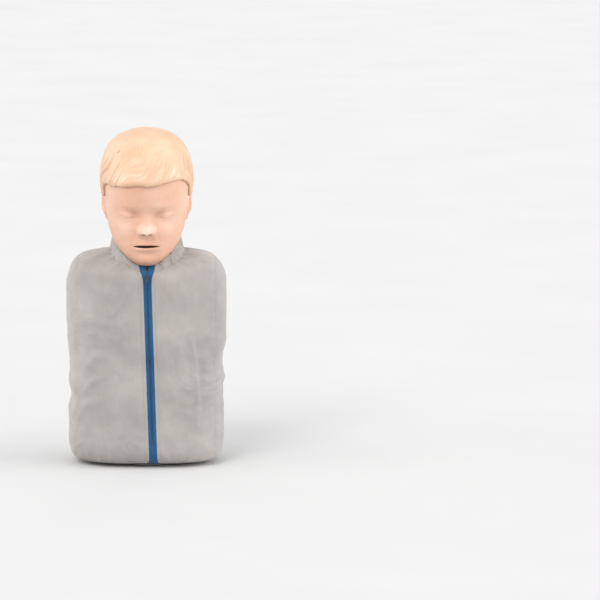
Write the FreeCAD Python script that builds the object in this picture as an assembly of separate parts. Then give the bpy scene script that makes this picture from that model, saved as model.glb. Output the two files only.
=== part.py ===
import FreeCAD, Part
import math
import os
from FreeCAD import Matrix, Vector

# A child-size resuscitation training manikin: head and armless torso in a zipped jacket.
# It stands on the flat lower end of its torso, faces -Y, and +X is the viewer's right.
# The origin is on the standing face, below the middle of the shoulders. All sizes are in millimetres.

# Torso shell
SHOULDER_WIDTH = 262.0
WAIST_WIDTH = 249.0
HIP_WIDTH = 254.0
CHEST_FRONT = 82.0
BACK_DEPTH = 77.0
TORSO_TOP = 353.0
TORSO_SQUARENESS = 2.7
NOTCH_WIDTH = 58.0
SHELL_WALL = 3.0
BASE_WALL = 4.0
SKIN_SPLIT_Y = -8.0
TRAY_HEIGHT = 24.0
LAYER_GAP = 0.3
RIM_GAP = 0.3

# Jacket
JACKET_CLOTH = 1.7
SIDE_SEAM_X = 115.0
SHOULDER_SEAM_Y = 6.0
SEAM_GAP = 0.2
HEM_BOTTOM = 4.5
HEM_HEIGHT = 6.0
HEM_THICK = 2.8
COLLAR_HALF_WIDTH = 62.0
COLLAR_FRONT = 66.0
COLLAR_BACK = 62.0
COLLAR_FLARE = 7.0
COLLAR_TOP_FRONT = 336.5
COLLAR_TOP_BACK = 396.0
COLLAR_FOOT = 290.0
COLLAR_CLOTH = 1.7
COLLAR_LEAN = 12.0

# Front zip
ZIP_TAPE_WIDTH = 7.6
ZIP_TAPE_THICK = 0.9
TAPE_SINK = 0.3
ZIP_FOOT_X = 11.0
ZIP_HEAD_X = 0.5
ZIP_FOOT_Z = 13.0
ZIP_STRAIGHT_FOOT_Z = 42.0
ZIP_HEAD_Z = 324.0
ZIP_OPEN_TOP_Z = 340.0
ZIP_OPEN_HALF = 7.4
TOOTH_PITCH = 3.0
TOOTH_LENGTH = 1.3
TOOTH_HALF_WIDTH = 1.5
TOOTH_PROUD = 0.9
SLIDER_LENGTH = 10.0
SLIDER_WIDTH = 8.4
SLIDER_PLATE = 1.1
SLIDER_CLEARANCE = 0.35
PULL_LENGTH = 13.0
PULL_WIDTH = 5.0
PULL_THICK = 1.3
PULL_PIN_RADIUS = 0.8
PULL_PIN_OUT = 1.5
PULL_PIN_UP = 1.2
PULL_HOLE_RADIUS = 1.3
LUG_WIDTH = 1.1
LUG_OUT = 2.6
LUG_HALF_HEIGHT = 1.6
PIN_CLEARANCE = 0.05
STOP_LENGTH = 5.0
STOP_HALF_WIDTH = 2.6
TOOTH_SINK = 0.05

# Chest mechanism
CHEST_CENTRE_Z = 205.0
CHEST_PLATE_WIDTH = 150.0
CHEST_PLATE_HEIGHT = 176.0
CHEST_PLATE_THICK = 3.6
CHEST_PLATE_RIB = 4.0
CHEST_TRAVEL = 50.0
FRAME_WALL = 3.0
WINDOW_GAP = 3.0
BAG_WIDTH = 116.0
BAG_HEIGHT = 140.0
BAG_THICK = 1.2
BAG_STRIP_WIDTH = 22.0
PLUNGER_RADIUS = 20.0
PLUNGER_WALL = 2.6
PLUNGER_LENGTH = 84.0
SLIDE_CLEARANCE = 0.06
GUIDE_WALL = 3.0
GUIDE_LENGTH = 78.0
GUIDE_FLANGE_RADIUS = 38.0
GUIDE_FLANGE_THICK = 3.5
PLUNGER_FLANGE_THICK = 3.0
PLATE_BOSS_HEIGHT = 9.0
RIB_HALF_WIDTH = 1.3
RIB_COLUMNS = (-56, -46, 46, 56)
RIB_ROWS = (-72, -56, 56, 72)
SEAT_RADIUS = 56.0
SEAT_HEIGHT = 4.0
SPRING_WIRE_RADIUS = 2.0
SPRING_MEAN_RADIUS = 30.0
SPRING_TURNS = 7
CLICKER_WIDTH = 12.0
CLICKER_THICK = 0.8
CLICKER_X = 45.0
CLICKER_TIP_GAP = 2.8
CLICKER_FOOT_THICK = 1.6
CLICKER_FOOT_NEAR = 4.0
CLICKER_FOOT_FAR = 8.0

# Neck and pivot
PIVOT_Y = 6.0
PIVOT_Z = 392.0
TILT_DEG = 38.0
BALL_RADIUS = 36.0
NECK_RADIUS = 30.0
NECK_TUBE_RADIUS = 27.0
NECK_WALL = 4.0
NECK_HOLE_RADIUS = 27.6
NECK_HOLE_DEPTH = 60.0
NECK_FLANGE_RADIUS = 42.0
NECK_FLANGE_THICK = 5.0
NECK_FOOT_Z = 336.0
NECK_SCREW_RADIUS = 1.8
NECK_SCREW_HEAD = 2.4
NECK_SCREW_BITE = 8.0
NECK_SCREW_GAP = 0.1
SOCKET_CLEARANCE = 0.5
PIVOT_PIN_RADIUS = 5.0
PIVOT_PIN_HALF = 43.0
PIVOT_BOSS_RADIUS = 9.0

# Head
HEAD_NOD_DEG = 11.5
HEAD_HEIGHT = 200.0
HEAD_WIDTH = 143.0
HEAD_FRONT = 91.5
HEAD_BACK = 88.5
PIVOT_IN_HEAD_Y = 16.0
PIVOT_IN_HEAD_Z = 38.0
FACE_WALL = 3.0
SKULL_WALL = 3.5
HAIR_THICK = 5.5
HAIR_TOP_EXTRA = 3.0
HAIRLINE_Z = 147.0
SIDEBURN_Z = 106.0
NOSE_LENGTH = 15.0
NOSE_TIP_Z = 70.0
EYE_Z = 90.0
EYE_X = 29.0
MOUTH_Z = 42.0
MOUTH_WIDTH = 46.0
MOUTH_HEIGHT = 6.4
NOSTRIL_X = 5.6
NOSTRIL_Z = 63.0
NOSTRIL_RADIUS = 1.9
NOSTRIL_TILT_DEG = 25.0
EAR_HEIGHT = 48.0
EAR_LENGTH = 28.0
EAR_THICK = 13.0
EAR_OUT = 3.0
EAR_LEAN_DEG = -12.0
EAR_FLARE_DEG = 16.0
EAR_Y = 10.0
EAR_Z = 79.0

# Jaw
JAW_HINGE_Y = -12.0
JAW_HINGE_Z = 76.0
JAW_TOP_Z = 33.0
JAW_BACK_Y = -15.0
JAW_ARM_X = 40.5
JAW_WALL = 3.6
JAW_PIN_RADIUS = 3.0
JAW_PIN_HALF = 58.0
JAW_BOSS_RADIUS = 8.0
JAW_OPENING = 8.0
JAW_STEPS = 8
JAW_SKULL_GAP = 1.2

# Airway
MOUTHPIECE_WIDTH = 50.0
MOUTHPIECE_HEIGHT = 15.0
MOUTHPIECE_BACK_Y = -62.0
AIRWAY_RADIUS = 5.0
AIRWAY_FOOT_Z = 304.0

# Electronics in the lower end
MODULE_WIDTH = 116.0
MODULE_DEPTH = 40.0
MODULE_HEIGHT = 40.0
MODULE_WALL = 2.0
MODULE_Y = 20.0
DOOR_WIDTH = 60.0
DOOR_DEPTH = 32.0
DOOR_THICK = 2.2
DOOR_GAP = 0.4
DOOR_RECESS = 0.8
DOOR_X = -18.0
DOOR_PIN_RADIUS = 1.2
DOOR_BARREL_RADIUS = 1.6
DOOR_STUB = 2.5
DOOR_HINGE_Z = 2.4
BATTERY_RADIUS = 7.2
BATTERY_LENGTH = 50.0
BUTTON_RADIUS = 7.0
BUTTON_GAP = 0.3
BUTTON_X = 34.0
BUTTON_RECESS = 0.8
BUTTON_FLANGE = 1.5
BUTTON_TRAVEL = 1.2
LAMP_RADIUS = 2.2
LAMP_X = 50.0
BOARD_THICK = 1.6
BOARD_Z = 25.0
BOARD_GAP = 0.3
CHIP_HEIGHT = 1.6
RADIO_HEIGHT = 2.4
SOLDER_SINK = 0.1
LID_THICK = 2.0
LID_GAP = 0.05
LID_LIP = 2.0
SHELF_THICK = 2.1
BATTERY_TIP_RADIUS = 2.6
BATTERY_TIP_LENGTH = 1.2
BATTERY_DOOR_GAP = 2.0
CONTACT_THICK = 0.6
CONTACT_HALF_WIDTH = 13.0
FINGER_NOTCH_RADIUS = 7.0
SWITCH_HALF_WIDTH = 4.0
SWITCH_STEM_RADIUS = 1.8

# Lower clip, the tab that shows under the hem
CLIP_WIDTH = 39.0
CLIP_X = 2.5
CLIP_BACK = 44.0
CLIP_TOP = 22.0
CLIP_THICK = 5.0
CLIP_PROUD = 1.8
CLIP_FOOT = 0.6

# Far enough to reach past the whole part, and the closeness of joined edges
FAR = 600.0
TOLERANCE = 1e-6


def v(x, y, z):
    return Vector(x, y, z)


def smooth(rows, z):
    """The value at z of a cubic through rows of (height, value) that never overshoots them."""
    if z <= rows[0][0]:
        return rows[0][1]
    if z >= rows[-1][0]:
        return rows[-1][1]
    k = max(i for i in range(len(rows) - 1) if rows[i][0] <= z)
    step = [rows[i + 1][0] - rows[i][0] for i in range(len(rows) - 1)]
    rise = [(rows[i + 1][1] - rows[i][1]) / step[i] for i in range(len(step))]

    def slope(i):
        if i == 0:
            return rise[0]
        if i == len(rise):
            return rise[-1]
        if rise[i - 1] * rise[i] <= 0:
            return 0.0
        return 2.0 * rise[i - 1] * rise[i] / (rise[i - 1] + rise[i])

    t = (z - rows[k][0]) / step[k]
    start = rows[k][1]
    end = rows[k + 1][1]
    m0 = slope(k) * step[k]
    m1 = slope(k + 1) * step[k]
    return (
        (2 * t**3 - 3 * t**2 + 1) * start
        + (t**3 - 2 * t**2 + t) * m0
        + (3 * t**2 - 2 * t**3) * end
        + (t**3 - t**2) * m1
    )


def bump(distance, width):
    return math.exp(-((distance / width) ** 2))


def box(x0, x1, y0, y1, z0, z1):
    return Part.makeBox(x1 - x0, y1 - y0, z1 - z0, v(x0, y0, z0))


def prism_x(points, x0, x1):
    """A polygon given as (y, z) points, extruded along X."""
    corners = [v(x0, y, z) for y, z in points]
    face = Part.Face(Part.makePolygon(corners + corners[:1]))
    return face.extrude(v(x1 - x0, 0, 0))


def prism_y(points, y0, y1):
    """A polygon given as (x, z) points, extruded along Y."""
    corners = [v(x, y0, z) for x, z in points]
    face = Part.Face(Part.makePolygon(corners + corners[:1]))
    return face.extrude(v(0, y1 - y0, 0))


def ellipsoid(centre, half_x, half_y, half_z):
    ball = Part.makeSphere(1.0)
    scale = Matrix()
    scale.scale(half_x, half_y, half_z)
    ball = ball.transformGeometry(scale)
    ball.translate(centre)
    return ball


def cylinder_x(radius, x0, x1, y, z):
    return Part.makeCylinder(radius, x1 - x0, v(x0, y, z), v(1, 0, 0))


def cylinder_y(radius, y0, y1, x, z):
    return Part.makeCylinder(radius, y1 - y0, v(x, y0, z), v(0, 1, 0))


def cylinder_z(radius, z0, z1, x, y):
    return Part.makeCylinder(radius, z1 - z0, v(x, y, z0), v(0, 0, 1))


# Surfaces built from rings of control points, stacked from bottom to top


def skin(rings):
    """A closed solid whose side is one smooth surface over stacked rings of control points."""
    around = len(rings[0])
    up = len(rings)
    poles = [[ring[k] for ring in rings] for k in range(around)]
    surface = Part.BSplineSurface()
    surface.buildFromPolesMultsKnots(
        poles,
        [1] * (around + 1),
        [4] + [1] * (up - 4) + [4],
        list(range(around + 1)),
        list(range(up - 2)),
        True,
        False,
        3,
        3,
    )
    side = surface.toShape()
    rims = [edge for edge in side.Edges if edge.isClosed()]
    caps = [Part.Face(Part.Wire([rim])) for rim in rims]
    solid = Part.Solid(Part.Shell([side] + caps))
    solid.fix(TOLERANCE, TOLERANCE, TOLERANCE)
    return solid


def offset_rings(rings, grow, crown=0.0):
    """Rings moved along the surface's normal by grow, and by crown more where it faces upwards."""
    count = len(rings[0])
    moved = []
    for i, ring in enumerate(rings):
        row = []
        for k, point in enumerate(ring):
            if i == 0:
                normal = v(0, 0, -1)
            elif i == len(rings) - 1:
                normal = v(0, 0, 1)
            else:
                along = ring[(k + 1) % count] - ring[k - 1]
                upward = rings[i + 1][k] - rings[i - 1][k]
                normal = along.cross(upward).normalize()
            distance = grow + crown * max(0.0, normal.z)
            row.append(point + normal * distance)
        moved.append(row)
    return moved


def ring_angles(count, crowding):
    """Angles round a ring, closer together at the front and the back when crowding is above 0."""
    angles = [2 * math.pi * k / count for k in range(count)]
    return [angle + crowding * math.sin(2 * angle) for angle in angles]


# Torso surface


def torso_widths():
    shoulder = SHOULDER_WIDTH / 2
    waist = WAIST_WIDTH / 2
    hip = HIP_WIDTH / 2
    top = TORSO_TOP
    return [
        (0.0, hip - 37),
        (1.6, hip - 26),
        (6.0, hip - 16),
        (12.0, hip - 8.5),
        (20.0, hip - 3.5),
        (32.0, hip - 0.5),
        (62.0, hip),
        (0.33 * top, waist),
        (0.52 * top, waist + 1.5),
        (0.67 * top, shoulder),
        (top - 66, shoulder),
        (top - 44, shoulder - 1.5),
        (top - 33, shoulder - 4.5),
        (top - 23, shoulder - 8.5),
        (top - 15, shoulder - 14),
        (top - 9, shoulder - 22),
        (top - 4, shoulder - 35),
        (top - 1.3, shoulder - 53),
        (top, shoulder - 76),
    ]


def torso_fronts():
    front = CHEST_FRONT
    top = TORSO_TOP
    return [
        (0.0, front - 46),
        (1.6, front - 34),
        (6.0, front - 20),
        (12.0, front - 10.5),
        (20.0, front - 4),
        (30.0, front - 0.7),
        (42.0, front),
        (top - 32, front),
        (top - 25, front - 2),
        (top - 20, front - 6),
        (top - 16, front - 13),
        (top - 13, front - 23),
        (top - 9, front - 39),
        (top - 4, front - 53),
        (top - 1.3, front - 62),
        (top, front - 70),
    ]


def torso_backs():
    back = BACK_DEPTH
    top = TORSO_TOP
    return [
        (0.0, back - 20),
        (1.6, back - 13),
        (6.0, back - 8),
        (12.0, back - 4.5),
        (20.0, back - 2),
        (32.0, back - 0.5),
        (62.0, back),
        (top - 62, back),
        (top - 44, back - 1),
        (top - 33, back - 3),
        (top - 23, back - 6),
        (top - 15, back - 10),
        (top - 9, back - 17),
        (top - 4, back - 26),
        (top - 1.3, back - 36),
        (top, back - 47),
    ]


def collar_notch(x, z):
    """The share of its depth that the front loses at the middle, below the chin."""
    top = TORSO_TOP
    rows = [
        (top - 33, 0.0),
        (top - 27, 0.05),
        (top - 22, 0.15),
        (top - 17, 0.25),
        (top - 10, 0.30),
        (top, 0.0),
    ]
    return smooth(rows, z) * bump(x, NOTCH_WIDTH)


TORSO_LEVELS = [
    0, 0.8, 2.4, 5, 9, 14, 21, 32, 50, 80, 114, 150, 190, 230, 262, 288, 304, 315, 323, 329, 334, 338.5,
    342.5, 346.5, 350, 352, 353,
]
TORSO_POINTS = 44


def torso_rings():
    rings = []
    power = 2.0 / TORSO_SQUARENESS
    for level in TORSO_LEVELS:
        z = level * TORSO_TOP / TORSO_LEVELS[-1]
        half = smooth(torso_widths(), z)
        front = smooth(torso_fronts(), z)
        back = smooth(torso_backs(), z)
        ring = []
        for angle in ring_angles(TORSO_POINTS, 0.0):
            c = math.cos(angle)
            s = math.sin(angle)
            x = half * math.copysign(abs(c) ** power, c)
            depth = back if s > 0 else front * (1 - collar_notch(x, z))
            ring.append(v(x, depth * math.copysign(abs(s) ** power, s), z))
        rings.append(ring)
    return rings


def torso_solid(grow):
    return skin(offset_rings(torso_rings(), grow))


def torso_layer(outer, inner):
    return torso_solid(outer).cut(torso_solid(inner))


def zip_x(z):
    """The zip leans: its middle line runs from its foot at the hem to its head at the collar."""
    share = (z - ZIP_FOOT_Z) / (ZIP_HEAD_Z - ZIP_FOOT_Z)
    return ZIP_FOOT_X + share * (ZIP_HEAD_X - ZIP_FOOT_X)


def zip_band(side, inner, outer):
    """One side of the zip seen from the front, from inner to outer off its middle line."""
    low = HEM_BOTTOM - 30
    high = ZIP_OPEN_TOP_Z + 30
    head = zip_x(ZIP_HEAD_Z)
    spread = ZIP_OPEN_HALF * (high - ZIP_HEAD_Z) / (ZIP_OPEN_TOP_Z - ZIP_HEAD_Z)
    outline = [
        (zip_x(low) + side * inner, low),
        (zip_x(low) + side * outer, low),
        (head + side * outer, ZIP_HEAD_Z),
        (head + side * (spread + outer), high),
        (head + side * (spread + inner), high),
        (head + side * inner, ZIP_HEAD_Z),
    ]
    return prism_y(outline, -FAR, 0)


def collar_tube(grow):
    """The collar's tube, wider at its foot, moved outwards by grow."""
    rings = []
    for share in [0.0, 0.33, 0.67, 1.0]:
        z = COLLAR_FOOT + share * (COLLAR_TOP_BACK + 10 - COLLAR_FOOT)
        flare = COLLAR_FLARE * (1 - share) + grow
        shift = COLLAR_LEAN * (share - 0.5)
        ring = []
        for angle in ring_angles(28, 0.0):
            depth = COLLAR_BACK if math.sin(angle) > 0 else COLLAR_FRONT
            x = (COLLAR_HALF_WIDTH + flare) * math.cos(angle)
            ring.append(v(x, (depth + flare) * math.sin(angle) + shift, z))
        rings.append(ring)
    return skin(rings)


def under_collar_top():
    """The space under the slanted top edge of the collar."""
    slope = (COLLAR_TOP_BACK - COLLAR_TOP_FRONT) / (COLLAR_BACK + COLLAR_FRONT)
    edge = [
        (-FAR, COLLAR_TOP_FRONT + slope * (COLLAR_FRONT - FAR)),
        (FAR, COLLAR_TOP_FRONT + slope * (COLLAR_FRONT + FAR)),
        (FAR, -FAR),
        (-FAR, -FAR),
    ]
    return prism_x(edge, -FAR, FAR)


# Head surface, in the head's own upright frame: z from the chin's lowest point, y from the ears


def head_rows():
    """(height, half width, centre y, length to the front, length to the back) of the head."""
    half = HEAD_WIDTH / 2
    front = HEAD_FRONT
    back = HEAD_BACK
    top = HEAD_HEIGHT
    return [
        (0.0, 0.10 * half, -62, 5, 6),
        (1.5, 0.21 * half, -60, 14, 15),
        (4.0, 0.30 * half, -58, 19.5, 22),
        (9.0, 0.42 * half, -52, 29, 33),
        (16.0, 0.56 * half, -42, 41, 47),
        (26.0, 0.70 * half, -29, 55, 66),
        (37.0, 0.80 * half, -17, 68, 74),
        (50.0, 0.87 * half, -8, 77.5, 79),
        (64.0, 0.915 * half, -2, 84, 82),
        (80.0, 0.95 * half, 0, front - 5.5, back - 4),
        (95.0, 0.97 * half, 0, front - 3.5, back - 1.5),
        (110.0, 0.985 * half, 0, front - 1, back),
        (125.0, half, 0, front, back),
        (top - 57, half - 0.5, 0, front - 1.5, back - 2),
        (top - 42, half - 3.5, 0, front - 6, back - 6.5),
        (top - 29, half - 8.5, 0, front - 13.5, back - 13.5),
        (top - 18, half - 16.5, 0, front - 24.5, back - 23.5),
        (top - 10, half - 27, 0, front - 37.5, back - 35.5),
        (top - 4, half - 41, 0, front - 54.5, back - 51.5),
        (top - 1, half - 55, 0, front - 71.5, back - 68.5),
        (top, half - 64, 0, front - 82, back - 79),
    ]


HEAD_LEVELS = [
    0, 1.5, 4, 9, 15, 21, 27, 32, 37, 42, 47, 52, 56, 60, 64, 68, 72, 77, 83, 89, 95, 102, 110, 118, 127,
    137, 148, 159, 170, 180, 188, 194, 198, 200,
]
HEAD_POINTS = 56
FACE_CROWDING = 0.30


def face_relief(x, z):
    """How far the face stands out in front of the plain head at (x, z): nose, lids, lips and chin."""
    side = abs(x)
    ridge = 0.0
    if z >= NOSE_TIP_Z:
        share = min(1.0, (z - NOSE_TIP_Z) / 30.0)
        ridge = (1 - share) ** 1.35
    elif z > NOSE_TIP_Z - 12:
        ridge = 0.5 + 0.5 * math.cos(math.pi * (NOSE_TIP_Z - z) / 12.0)
    spread = 6.5 + 3.0 * bump(z - NOSE_TIP_Z + 2, 9.0)
    relief = NOSE_LENGTH * ridge * bump(x, spread)
    relief += 3.4 * bump(side - 11.5, 4.5) * bump(z - (NOSE_TIP_Z - 4), 5.5)
    relief -= 5.5 * bump(side - (EYE_X - 6), 13.0) * bump(z - (EYE_Z + 5), 9.0)
    relief += 3.4 * bump(side - (EYE_X + 1), 12.0) * bump(z - (EYE_Z + 0.5), 6.0)
    relief += 1.4 * bump(side - EYE_X, 17.0) * bump(z - (EYE_Z + 19), 8.0)
    relief += 2.4 * bump(side - 37, 15.0) * bump(z - 60, 15.0)
    relief += 2.6 * bump(x, 19.0) * bump(z - MOUTH_Z, 8.0)
    relief -= 2.0 * bump(x, 17.0) * bump(z - (MOUTH_Z - 15), 6.0)
    relief += 3.4 * bump(x, 15.0) * bump(z - 13, 9.0)
    return relief


def head_rings(with_features):
    rings = []
    for level in HEAD_LEVELS:
        z = level * HEAD_HEIGHT / HEAD_LEVELS[-1]
        columns = [[(row[0], row[i]) for row in head_rows()] for i in range(1, 5)]
        half, centre, front, back = [smooth(column, z) for column in columns]
        ring = []
        for angle in ring_angles(HEAD_POINTS, FACE_CROWDING):
            c = math.cos(angle)
            s = math.sin(angle)
            x = half * math.copysign(abs(c) ** 0.94, c)
            y = centre + (back if s > 0 else front) * s
            if s < 0:
                relief = face_relief(x, z)
                if not with_features:
                    relief = min(0.0, relief)
                y -= relief * min(1.0, -2.2 * s)
            ring.append(v(x, y, z))
        rings.append(ring)
    return rings


def head_solid(grow, with_features=True, crown=0.0):
    return skin(offset_rings(head_rings(with_features), grow, crown))


def turn(shape, degrees, y, z):
    """A copy of a shape turned about the X-direction line through (y, z)."""
    moved = shape.copy()
    moved.rotate(v(0, y, z), v(1, 0, 0), degrees)
    return moved


def place_head(shape):
    """Moves a shape from the head's frame to its resting place, nodding forwards on the pivot."""
    moved = turn(shape, HEAD_NOD_DEG, PIVOT_IN_HEAD_Y, PIVOT_IN_HEAD_Z)
    moved.translate(v(0, PIVOT_Y - PIVOT_IN_HEAD_Y, PIVOT_Z - PIVOT_IN_HEAD_Z))
    return moved


def placed_point(y, z):
    """A point (0, y, z) of the head's frame at its resting place."""
    nod = math.radians(HEAD_NOD_DEG)
    dy = y - PIVOT_IN_HEAD_Y
    dz = z - PIVOT_IN_HEAD_Z
    return v(
        0,
        PIVOT_Y + dy * math.cos(nod) - dz * math.sin(nod),
        PIVOT_Z + dy * math.sin(nod) + dz * math.cos(nod),
    )


def hair_region(gap):
    """The side view of the hair, from the forehead over the ear to the nape, drawn back by gap."""
    outline = [
        (-FAR, HAIRLINE_Z + 65 + gap),
        (-88, HAIRLINE_Z + gap),
        (-60, HAIRLINE_Z - 5 + gap),
        (-38, HAIRLINE_Z - 11 + gap),
        (-29 + gap, HAIRLINE_Z - 18),
        (-25 + gap, SIDEBURN_Z + gap),
        (-8, SIDEBURN_Z - 2 + gap),
        (10, SIDEBURN_Z - 3 + gap),
        (25 + gap, SIDEBURN_Z - 12),
        (31 + gap, SIDEBURN_Z - 28),
        (32 + gap, 52),
        (42 + gap, 28),
        (FAR, 28),
        (FAR, FAR),
        (-FAR, FAR),
    ]
    return prism_x(outline, -FAR, FAR)


def neck_sweep(radius, ball):
    """The space that the neck takes up in the head's frame, from rest to fully tilted back."""
    column = Part.makeCylinder(radius, 120, v(0, PIVOT_IN_HEAD_Y, PIVOT_IN_HEAD_Z), v(0, 0, -1))
    swept = Part.makeSphere(ball, v(0, PIVOT_IN_HEAD_Y, PIVOT_IN_HEAD_Z))
    steps = 5
    for i in range(steps + 1):
        tilt = TILT_DEG * i / steps - HEAD_NOD_DEG
        swept = swept.fuse(turn(column, tilt, PIVOT_IN_HEAD_Y, PIVOT_IN_HEAD_Z))
    return swept


# Pieces


def make_back_shell():
    layer = torso_layer(0, -SHELL_WALL)
    front = box(-FAR, FAR, -FAR, SKIN_SPLIT_Y, TRAY_HEIGHT, FAR)
    shell = layer.cut(front)
    floor = torso_solid(-SHELL_WALL / 2).common(box(-FAR, FAR, -FAR, FAR, 0, BASE_WALL))
    shell = shell.fuse(floor)
    shell = shell.cut(cylinder_z(NECK_HOLE_RADIUS, TORSO_TOP - NECK_HOLE_DEPTH, FAR, 0, PIVOT_Y))
    seat_y = BACK_DEPTH - SHELL_WALL - SEAT_HEIGHT
    seat = cylinder_y(SEAT_RADIUS, seat_y, BACK_DEPTH, 0, CHEST_CENTRE_Z)
    shell = shell.fuse(seat.common(torso_solid(-SHELL_WALL / 2)))
    shell = shell.cut(clip_region(RIM_GAP))
    door_front = MODULE_Y - DOOR_DEPTH / 2
    door_back = MODULE_Y + DOOR_DEPTH / 2
    shell = shell.cut(
        box(
            DOOR_X - DOOR_WIDTH / 2 - DOOR_GAP,
            DOOR_X + DOOR_WIDTH / 2 + DOOR_GAP,
            door_front - DOOR_GAP,
            door_back + DOOR_GAP,
            -1,
            BASE_WALL + 1,
        )
    )
    trunnion_hole = cylinder_x(
        DOOR_PIN_RADIUS + PIN_CLEARANCE,
        DOOR_X - DOOR_WIDTH / 2 - DOOR_STUB - 1,
        DOOR_X + DOOR_WIDTH / 2 + DOOR_STUB + 1,
        door_hinge_y(),
        DOOR_HINGE_Z,
    )
    shell = shell.cut(trunnion_hole)
    shell = shell.cut(cylinder_z(BUTTON_RADIUS + BUTTON_GAP, -1, BASE_WALL + 1, BUTTON_X, MODULE_Y))
    shell = shell.cut(cylinder_z(LAMP_RADIUS + PIN_CLEARANCE, -1, BASE_WALL + 1, LAMP_X, MODULE_Y))
    return shell


def make_chest_skin():
    layer = torso_layer(0, -SHELL_WALL)
    front = box(-FAR, FAR, -FAR, SKIN_SPLIT_Y - RIM_GAP, TRAY_HEIGHT + RIM_GAP, FAR)
    shell = layer.common(front)
    shell = shell.cut(clip_region(RIM_GAP))
    return shell.cut(cylinder_z(NECK_HOLE_RADIUS, TORSO_TOP - NECK_HOLE_DEPTH, FAR, 0, PIVOT_Y))


def clip_region(gap):
    half = CLIP_WIDTH / 2 + gap
    return box(CLIP_X - half, CLIP_X + half, -FAR, -CLIP_BACK + gap, -FAR, CLIP_TOP + gap)


def make_lower_clip():
    tongue = torso_layer(CLIP_PROUD, -CLIP_THICK).common(clip_region(0))
    tongue = tongue.cut(box(-FAR, FAR, -FAR, FAR, -FAR, CLIP_FOOT))
    under_cloth = torso_solid(CLIP_PROUD + 1).cut(torso_solid(-LAYER_GAP))
    return tongue.cut(under_cloth.common(box(-FAR, FAR, -FAR, FAR, HEM_BOTTOM - RIM_GAP, FAR)))


def jacket_layer():
    layer = torso_layer(LAYER_GAP + JACKET_CLOTH, LAYER_GAP)
    layer = layer.cut(box(-FAR, FAR, -FAR, FAR, -FAR, HEM_BOTTOM + HEM_HEIGHT + SEAM_GAP))
    return layer.cut(collar_tube(COLLAR_CLOTH + SEAM_GAP))


def zip_clearance():
    """All that lies between the outer edges of the two zip tapes, and the gap at each."""
    edge = ZIP_TAPE_WIDTH + SEAM_GAP
    return zip_band(1, -0.1, edge).fuse(zip_band(-1, -0.1, edge)).fuse(zip_opening())


def zip_opening():
    """The V above the zip's head, between the two tapes."""
    high = ZIP_OPEN_TOP_Z + 30
    head = zip_x(ZIP_HEAD_Z)
    spread = ZIP_OPEN_HALF * (high - ZIP_HEAD_Z) / (ZIP_OPEN_TOP_Z - ZIP_HEAD_Z)
    return prism_y([(head, ZIP_HEAD_Z), (head - spread, high), (head + spread, high)], -FAR, 0)


def jacket_pieces():
    layer = jacket_layer()
    half_gap = SEAM_GAP / 2
    inner = SIDE_SEAM_X - half_gap
    outer = SIDE_SEAM_X + half_gap
    front = layer.common(box(-inner, inner, -FAR, SHOULDER_SEAM_Y - half_gap, 0, FAR))
    front = front.cut(zip_clearance())
    split = zip_x(CHEST_CENTRE_Z)
    return {
        "jacket_front_right": front.common(box(-FAR, split, -FAR, FAR, 0, FAR)),
        "jacket_front_left": front.common(box(split, FAR, -FAR, FAR, 0, FAR)),
        "jacket_side_right": layer.common(box(-FAR, -outer, -FAR, FAR, 0, FAR)),
        "jacket_side_left": layer.common(box(outer, FAR, -FAR, FAR, 0, FAR)),
        "jacket_back": layer.common(box(-inner, inner, SHOULDER_SEAM_Y + half_gap, FAR, 0, FAR)),
    }


def make_hem():
    layer = torso_layer(LAYER_GAP + HEM_THICK, LAYER_GAP)
    band = layer.common(box(-FAR, FAR, -FAR, FAR, HEM_BOTTOM, HEM_BOTTOM + HEM_HEIGHT))
    gap = ZIP_TAPE_WIDTH + SEAM_GAP
    middle = zip_x(HEM_BOTTOM)
    return band.cut(box(middle - gap, middle + gap, -FAR, 0, -FAR, FAR))


def make_collar():
    tube = collar_tube(COLLAR_CLOTH).cut(collar_tube(0))
    tube = tube.common(under_collar_top())
    tube = tube.cut(torso_solid(LAYER_GAP))
    edge = ZIP_OPEN_HALF + ZIP_TAPE_WIDTH + 1
    middle = zip_x(ZIP_HEAD_Z)
    return tube.cut(box(middle - edge, middle + edge, -FAR, 0, -FAR, FAR))


def zip_tape(side):
    """A tape up the front and on along the collar's front edge."""
    sink = LAYER_GAP + TAPE_SINK
    band = zip_band(side, 0.15, ZIP_TAPE_WIDTH)
    tube_sink = (COLLAR_CLOTH - ZIP_TAPE_THICK) / 2
    front = torso_layer(sink + ZIP_TAPE_THICK, sink).common(band)
    front = front.common(box(-FAR, FAR, -FAR, 0, HEM_BOTTOM, FAR))
    front = front.cut(collar_tube(tube_sink))
    edge = collar_tube(COLLAR_CLOTH - tube_sink).cut(collar_tube(tube_sink)).common(band)
    edge = edge.common(under_collar_top()).cut(torso_solid(sink))
    return front.fuse(edge)


def front_y():
    """The y of the jacket's flat front, along the zip."""
    return -(CHEST_FRONT + LAYER_GAP)


def zip_lean():
    return math.atan2(ZIP_HEAD_X - ZIP_FOOT_X, ZIP_HEAD_Z - ZIP_FOOT_Z)


def along_zip(shape, z):
    """Turns an upright shape to the zip's lean and moves it up to the zip's middle line at z."""
    moved = shape.copy()
    moved.rotate(v(0, 0, 0), v(0, 1, 0), math.degrees(zip_lean()))
    moved.translate(v(zip_x(z), 0, z))
    return moved


def tooth_face_y():
    return front_y() - TAPE_SINK - ZIP_TAPE_THICK


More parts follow.
